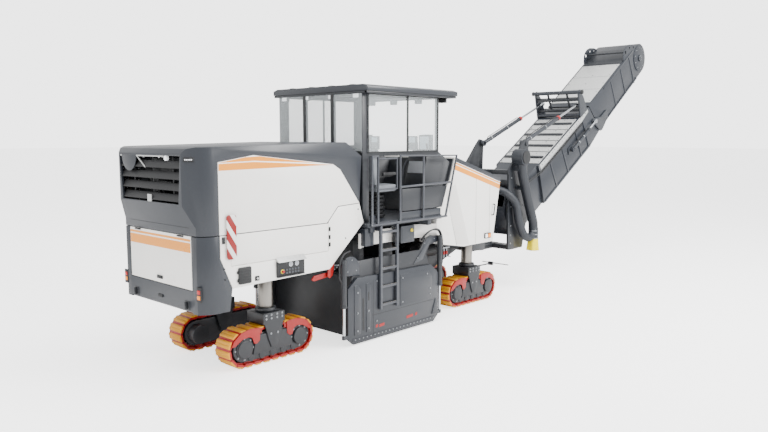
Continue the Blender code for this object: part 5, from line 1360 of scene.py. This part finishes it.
def fit_head():
    """Fits the folding head: light cover, dark lid, ribs, rounded ears and shields, and the return belt"""
    body = "upper_conveyor"
    u0, u1 = 4.0, 5.86
    cover = belt_plate([(u0, top_of_head(u0) - 0.001), (u1, top_of_head(u1) - 0.001),
                        (u1, top_of_head(u1) + 0.012), (u0, top_of_head(u0) + 0.012)], -0.51, 0.51, 0.003)
    finish(cover, "head_cover", "zinc", body)
    up = belt(0, 0, 1) - belt(0, 0, 0)
    spots = [belt(u, y, top_of_head(u) + 0.012) for u in (4.07, 4.49, 4.91, 5.33, 5.79)
             for y in (-0.47, 0, 0.47)]
    finish(bolt_heads(spots, up, 0.011), "head_cover_bolts", "bolt", body)
    for side, hand in SIDES:
        fit_ear(side, hand)
        disc = [(NOSE_U + NOSE_RADIUS * cos(a), NOSE_N + NOSE_RADIUS * sin(a))
                for a in [2 * pi * i / 40 for i in range(40)]]
        shield = [belt_plate(disc, side * BELT_SIDE, side * 0.572, 0.004)]
        shield.append(drum(belt(NOSE_U, side * 0.568, NOSE_N), belt(NOSE_U, side * 0.6, NOSE_N), 0.085, 28,
                           0.006))
        shield.append(belt_plate([(4.7, top_of_head(4.7) - 0.055), (6.6, top_of_head(6.6) - 0.055),
                                  (6.6, top_of_head(6.6) - 0.006), (4.7, top_of_head(4.7) - 0.006)],
                                 side * BELT_SIDE, side * 0.572, 0.003))
        shield.append(belt_plate([(4.62, -0.27), (6.5, -0.185), (6.5, -0.145), (4.62, -0.23)],
                                 side * BELT_SIDE, side * 0.572, 0.003))
        for u in (5.1, 5.72, 6.3):
            shield.append(belt_plate([(u, -0.22), (u + 0.045, -0.22), (u + 0.045, top_of_head(u) - 0.03),
                                      (u, top_of_head(u) - 0.03)], side * BELT_SIDE, side * 0.569, 0.003))
        finish(shield, f"head_shields_{hand}", "slate", body)
        ring = [belt(NOSE_U + 0.27 * cos(a), side * 0.572, NOSE_N + 0.27 * sin(a))
                for a in [pi * i / 5 for i in range(10)]]
        ring += [belt(NOSE_U + 0.06 * cos(a), side * 0.6, NOSE_N + 0.06 * sin(a))
                 for a in [pi * i / 3 for i in range(6)]]
        finish(bolt_heads(ring, (0, side, 0), 0.012), f"head_bolts_{hand}", "bolt", body)
    lid = belt_plate([(5.9, top_of_head(5.9)), (6.62, top_of_head(6.62)), (6.6, top_of_head(6.62) + 0.045),
                      (5.92, top_of_head(5.9) + 0.02)], -0.53, 0.53, 0.006)
    cross = drum(belt(6.22, -0.536, 0.72), belt(6.22, 0.536, 0.72), 0.022, 20)
    finish([lid, cross], "head_lid", "slate_dark", body)
    seams = [belt_plate([(u, top_of_head(u) + 0.008), (u + 0.012, top_of_head(u) + 0.008),
                         (u + 0.012, top_of_head(u) + 0.0135), (u, top_of_head(u) + 0.0135)], -0.505, 0.505,
                        0) for u in (4.62, 5.24)]
    finish(seams, "head_cover_seams", "bolt", body)
    belts = belt_plate([(4.3, -0.215), (6.6, -0.1), (6.6, -0.088), (4.3, -0.203)], -0.42, 0.42, 0.002)
    finish(belts, "conveyor_belt_upper", "rubber", body)


def fit_rams():
    """Fits the cylinders: red or dark gland collars, clips and the pipes along their barrels"""
    for kind, radius, bore, far in (("lift", 0.045, 0.029, 1.62), ("fold", 0.038, 0.027, 0.92)):
        for _, hand in SIDES:
            slide = JOINTS[f"{hand}_{kind}_rod_slide"]
            along = Vector(slide["axis"]).normalized()
            start = Vector(JOINTS[f"{hand}_{kind}_barrel_pin"]["pos_m"])
            body = f"{hand}_{kind}_barrel"
            collar = drum(start + along * (far - 0.07), start + along * (far - 0.004), radius + 0.007, 28,
                          0.004)
            hole = drum(start + along * (far - 0.2), start + along * (far + 0.1), bore, 24, 0)
            cut_away(collar, hole)
            finish(collar, f"{kind}_collar_{hand}", "red" if kind == "lift" else "slate_dark", body)
            up = Vector((0, 1, 0)).cross(along)
            up = up if up.z > 0 else -up
            line = [start + along * 0.16 + up * radius * 0.8, start + along * 0.2 + up * (radius + 0.028),
                    start + along * (far - 0.16) + up * (radius + 0.028),
                    start + along * (far - 0.1) + up * radius]
            finish(tube(line, 0.009, 0.03), f"{kind}_pipe_{hand}", "black", body)
            grips = [drum(start + along * d, start + along * (d + 0.03), radius + 0.004, 24, 0.002)
                     for d in (0.3, far * 0.6)]
            finish(grips, f"{kind}_clips_{hand}", "bolt", body)


def fit_slew():
    """Fits the slewing frame: mast bolts and pins, fan cover and the dust ducts with their yellow sleeve"""
    for side, hand in SIDES:
        spots = [at(6.4, side * 0.6, z) for z in (0.98, 1.15, 1.35, 1.75, 2.05, 2.35)]
        spots += [at(6.9, side * 0.6, z) for z in (1.75, 2.05, 2.35)]
        finish(bolt_heads(spots, (0, side, 0), 0.014), f"mast_bolts_{hand}", "bolt", "slew")
        cap = stud(side, 6.75, 1.55, 0.598, 0.625, 0.085, 32, 0.008)
        eye_cap = stud(side, 6.95, 3.06, 0.598, 0.622, 0.05, 28, 0.006)
        finish([cap, eye_cap], f"mast_pins_{hand}", "slate_dark", "slew")
    fan = [drum(at(6.5, -0.882, 2.78), at(6.5, -0.9, 2.78), 0.135, 36, 0.006),
           drum(at(6.5, -0.62, 2.78), at(6.5, -0.65, 2.78), 0.1, 28, 0.006)]
    finish(fan, "dust_fan_cover", "black", "slew")
    rings = [drum(at(DUCT_X, DUCT_Y, z), at(DUCT_X, DUCT_Y, z + 0.016), 0.1085, 32, 0.004)
             for z in (1.04, 1.12, 1.2)]
    finish(rings, "duct_clamps", "bolt", "slew")
    branch = tube([at(7.03, -0.76, 1.16), at(6.9, -0.76, 1.05), at(6.7, -0.745, 1.12),
                   at(6.52, -0.725, 1.4), at(6.43, -0.705, 1.85), at(6.22, -0.6, 2.06),
                   at(6.14, -0.36, 2.12)], 0.085, 0.18, 6)
    finish(branch, "dust_branch", "duct", "slew", (), 60)
    sleeve = drum(at(DUCT_X, DUCT_Y, 0.785), at(DUCT_X, DUCT_Y, 1.035), 0.128, 28, 0.006, 2, 0.109)
    only(sleeve)
    with editing():
        bpy.ops.mesh.subdivide(number_cuts=2)
    foot = at(DUCT_X, DUCT_Y, 0.785)
    for vertex in sleeve.data.vertices:
        out = Vector((vertex.co.x - foot.x, vertex.co.y - foot.y, 0))
        depth = max(0.0, 1 - (vertex.co.z - foot.z) / 0.25)
        wave = 1 + 0.1 * depth * cos(5 * math.atan2(out.y, out.x) + 1.0)
        vertex.co.x, vertex.co.y = foot.x + out.x * wave, foot.y + out.y * wave
    finish(sleeve, "duct_sleeve", "nozzle", "slew", (), 60)


def fit_sight():
    """Fits the sighting arm at the front track: an arm and its cross bar"""
    x = WHEELBASE + 0.8
    for side, hand in SIDES:
        body = body_of(f"track_front_{hand}")
        y = side * TRACK_Y
        arm = [tube([at(WHEELBASE + 0.15, y, 0.66), at(x + 0.02, y, 0.655)], 0.014, 0),
               block(at(x, y - 0.05, 0.62), at(x + 0.05, y + 0.05, 0.69), 0.006)]
        finish(arm, f"sight_arm_{hand}", "slate_dark", body)
        bar = tube([at(x + 0.025, y - side * 0.2, 0.67), at(x + 0.025, y + side * 0.42, 0.67)], 0.009, 0)
        finish(bar, f"sight_bar_{hand}", "black", body)


# ---- stage


def lamp(name, place, target, size, power):
    """A broad soft lamp that looks at its target."""
    data = bpy.data.lights.new(name, "AREA")
    data.shape = "RECTANGLE"
    data.size, data.size_y = size
    data.energy = power
    obj = bpy.data.objects.new(name, data)
    bpy.context.scene.collection.objects.link(obj)
    obj.location = place
    obj.rotation_euler = (Vector(target) - Vector(place)).to_track_quat("-Z", "Y").to_euler()


def glow_where_seen(tree, socket, lighting, seen):
    """Gives a strength one value for its light and another where it is seen, so the backdrop stays pale."""
    path = add(tree, "ShaderNodeLightPath", {})
    strength = add(tree, "ShaderNodeMapRange", {0: path.outputs["Is Camera Ray"]}, in_3=lighting, in_4=seen)
    tree.links.new(strength.outputs[0], socket)


def floor_material():
    """A painted studio floor: nearly white, matt, with a barely seen mottle."""
    material, tree, shader, place = new_material("studio_floor", linear(0xFAFAFA), 0.85)
    mottle = add(tree, "ShaderNodeTexNoise", {"Vector": place}, in_2=0.4, in_3=3.0)
    tone = add(tree, "ShaderNodeMix", {0: mottle.outputs[0]}, data_type="RGBA", in_6=linear(0xF6F6F6),
               in_7=linear(0xFDFDFD))
    tree.links.new(tone.outputs[2], shader.inputs["Base Color"])
    shader.inputs["Emission Color"].default_value = linear(0xFFFFFF)
    glow_where_seen(tree, shader.inputs["Emission Strength"], *FLOOR_GLOW)
    return material


CAMERA_PLACE = -11.907, -8.67, 3.2
CAMERA_HEADING = radians(42.93)
CAMERA_PITCH = radians(-6.38)
CAMERA_LENS = 33.19
CAMERA_REACH = 500
FLOOR_SIZE = 400
SURROUND_GLOW = 1.4, 3.6
FLOOR_GLOW = 0.15, 1.9
# Each lamp's name, place, target, size and power in watts.
LAMPS = (("overhead", (-2, -4, 14), (0, 0, 1), (12, 8), 2300),
         ("key", (4, -16, 10), (0, 0, 1), (7, 5), 3300), ("rear", (-17, 1, 6), (-4, 0, 1.5), (8, 6), 420))


def set_stage():
    """A pale floor, broad soft lights, an even surround, and the camera behind the right rear corner."""
    deselect()
    bpy.ops.mesh.primitive_plane_add(size=FLOOR_SIZE, location=(0, 0, -0.002))
    floor = settle(bpy.context.object)
    floor.name = "studio_floor"
    floor.data.materials.append(floor_material())
    world = bpy.data.worlds.new("studio")
    bpy.context.scene.world = world
    world.use_nodes = True
    surround = world.node_tree.nodes["Background"]
    surround.inputs[0].default_value = linear(0xFFFFFF)
    glow_where_seen(world.node_tree, surround.inputs[1], *SURROUND_GLOW)
    for settings in LAMPS:
        lamp(*settings)
    camera = bpy.data.objects.new("camera", bpy.data.cameras.new("camera"))
    bpy.context.scene.collection.objects.link(camera)
    camera.data.lens = CAMERA_LENS
    camera.data.sensor_width = 36
    camera.data.clip_end = CAMERA_REACH
    camera.location = CAMERA_PLACE
    aim = Vector((cos(CAMERA_HEADING) * cos(CAMERA_PITCH), sin(CAMERA_HEADING) * cos(CAMERA_PITCH),
                  sin(CAMERA_PITCH)))
    camera.rotation_euler = aim.to_track_quat("-Z", "Y").to_euler()
    bpy.context.scene.camera = camera


# ---- add-on


class PlanerPanels(bpy.types.Operator):
    """Puts every plain panel and frame in its paint, with rounded edges"""
    bl_idname = "planer.panels"
    bl_label = "Panels and frames"

    def execute(self, context):
        make_materials()
        dress_panels()
        return {"FINISHED"}


class PlanerTracks(bpy.types.Operator):
    """Makes the tracks' pads, shoes, guards, wheels and columns"""
    bl_idname = "planer.tracks"
    bl_label = "Tracks"

    def execute(self, context):
        dress_tracks()
        return {"FINISHED"}


class PlanerDrum(bpy.types.Operator):
    """Sets the picks round the milling drum"""
    bl_idname = "planer.drum"
    bl_label = "Milling drum"

    def execute(self, context):
        dress_drum()
        return {"FINISHED"}


class PlanerRear(bpy.types.Operator):
    """Fits the rear: grille slats, guard bar, lamps, the flap's stripes and its latches"""
    bl_idname = "planer.rear"
    bl_label = "Rear"

    def execute(self, context):
        fit_rear()
        return {"FINISHED"}


class PlanerFlanks(bpy.types.Operator):
    """Fits both flanks: stripes, hazard boards, hinges, control panel, boxes and the red lever"""
    bl_idname = "planer.flanks"
    bl_label = "Flanks"

    def execute(self, context):
        fit_flanks()
        return {"FINISHED"}


class PlanerSeats(bpy.types.Operator):
    """Makes the two seats: padded cushion, back and armrests on a bellows base"""
    bl_idname = "planer.seats"
    bl_label = "Seats"

    def execute(self, context):
        fit_seats()
        return {"FINISHED"}


class PlanerConsoles(bpy.types.Operator):
    """Fits the consoles: screens in their cases, key pads, joysticks and grab rails"""
    bl_idname = "planer.consoles"
    bl_label = "Consoles"

    def execute(self, context):
        fit_consoles()
        return {"FINISHED"}


class PlanerPlatform(bpy.types.Operator):
    """Fits the platform: toe boards, gate, ladder grips, the switch box and the canopy's trims and lamps"""
    bl_idname = "planer.platform"
    bl_label = "Platform"

    def execute(self, context):
        fit_platform()
        return {"FINISHED"}


class PlanerFrontBody(bpy.types.Operator):
    """Fits the front body: dark sloping trim, orange stripes, seams, a plate of painted shade on a facet,
    handle and lamp
    """
    bl_idname = "planer.front_body"
    bl_label = "Front body"

    def execute(self, context):
        fit_front_body()
        return {"FINISHED"}


class PlanerSidePlates(bpy.types.Operator):
    """Fits the side plates: bolted wear strip, slot guide, raised sheets, chrome rods and marks"""
    bl_idname = "planer.side_plates"
    bl_label = "Side plates"

    def execute(self, context):
        fit_side_plates()
        return {"FINISHED"}


class PlanerHousing(bpy.types.Operator):
    """Fits the drum housing: round cover, gooseneck edge, pipes and bolts on both sides"""
    bl_idname = "planer.housing"
    bl_label = "Housing"

    def execute(self, context):
        fit_housing()
        return {"FINISHED"}


class PlanerEngine(bpy.types.Operator):
    """Fits the engine under the hood: covers, charge pipes, air cleaners and fan shroud"""
    bl_idname = "planer.engine"
    bl_label = "Engine"

    def execute(self, context):
        fit_engine()
        return {"FINISHED"}


class PlanerConveyor(bpy.types.Operator):
    """Fits the lower conveyor: covers, flanges, ribs, belt and the goalpost's cross bars"""
    bl_idname = "planer.conveyor"
    bl_label = "Conveyor"

    def execute(self, context):
        fit_conveyor()
        return {"FINISHED"}


class PlanerHead(bpy.types.Operator):
    """Fits the folding head: light cover, ribs, rounded ear shields and return belt"""
    bl_idname = "planer.head"
    bl_label = "Head"

    def execute(self, context):
        fit_head()
        return {"FINISHED"}


class PlanerRams(bpy.types.Operator):
    """Fits the cylinders: red rings, gland collars and the pipes along their barrels"""
    bl_idname = "planer.rams"
    bl_label = "Rams"

    def execute(self, context):
        fit_rams()
        return {"FINISHED"}


class PlanerSlew(bpy.types.Operator):
    """Fits the slewing frame: mast bolts and pins, fan cover and the dust ducts with their yellow sleeve"""
    bl_idname = "planer.slew"
    bl_label = "Slew"

    def execute(self, context):
        fit_slew()
        return {"FINISHED"}


class PlanerSight(bpy.types.Operator):
    """Fits the sighting arm at the front track: an arm and its cross bar"""
    bl_idname = "planer.sight"
    bl_label = "Sight"

    def execute(self, context):
        fit_sight()
        return {"FINISHED"}


class PlanerStage(bpy.types.Operator):
    """Sets the floor, the lights and the camera"""
    bl_idname = "planer.stage"
    bl_label = "Stage"

    def execute(self, context):
        set_stage()
        return {"FINISHED"}


OPERATORS = (PlanerPanels, PlanerTracks, PlanerDrum, PlanerRear, PlanerFlanks, PlanerSeats, PlanerConsoles,
             PlanerPlatform, PlanerFrontBody, PlanerSidePlates, PlanerHousing, PlanerEngine, PlanerConveyor,
             PlanerHead, PlanerRams, PlanerSlew, PlanerSight, PlanerStage)


class PlanerSidebar(bpy.types.Panel):
    """The planer's colours, sizes and the steps that build its looks"""
    bl_idname = "VIEW3D_PT_planer"
    bl_label = "Cold planer"
    bl_space_type = "VIEW_3D"
    bl_region_type = "UI"
    bl_category = "Planer"

    def draw(self, context):
        for group in (context.scene.planer_colours, context.scene.planer_sizes):
            for key in group.__annotations__:
                self.layout.prop(group, key)
        for step in OPERATORS:
            self.layout.operator(step.bl_idname)


CLASSES = PlanerColours, PlanerSizes, *OPERATORS, PlanerSidebar


def register():
    for cls in CLASSES:
        bpy.utils.register_class(cls)
    bpy.types.Scene.planer_colours = bpy.props.PointerProperty(type=PlanerColours)
    bpy.types.Scene.planer_sizes = bpy.props.PointerProperty(type=PlanerSizes)


def unregister():
    del bpy.types.Scene.planer_sizes
    del bpy.types.Scene.planer_colours
    for cls in reversed(CLASSES):
        bpy.utils.unregister_class(cls)


def main():
    register()
    for step in OPERATORS:
        group, name = step.bl_idname.split(".")
        getattr(getattr(bpy.ops, group), name)()


if __name__ == "__main__":
    main()
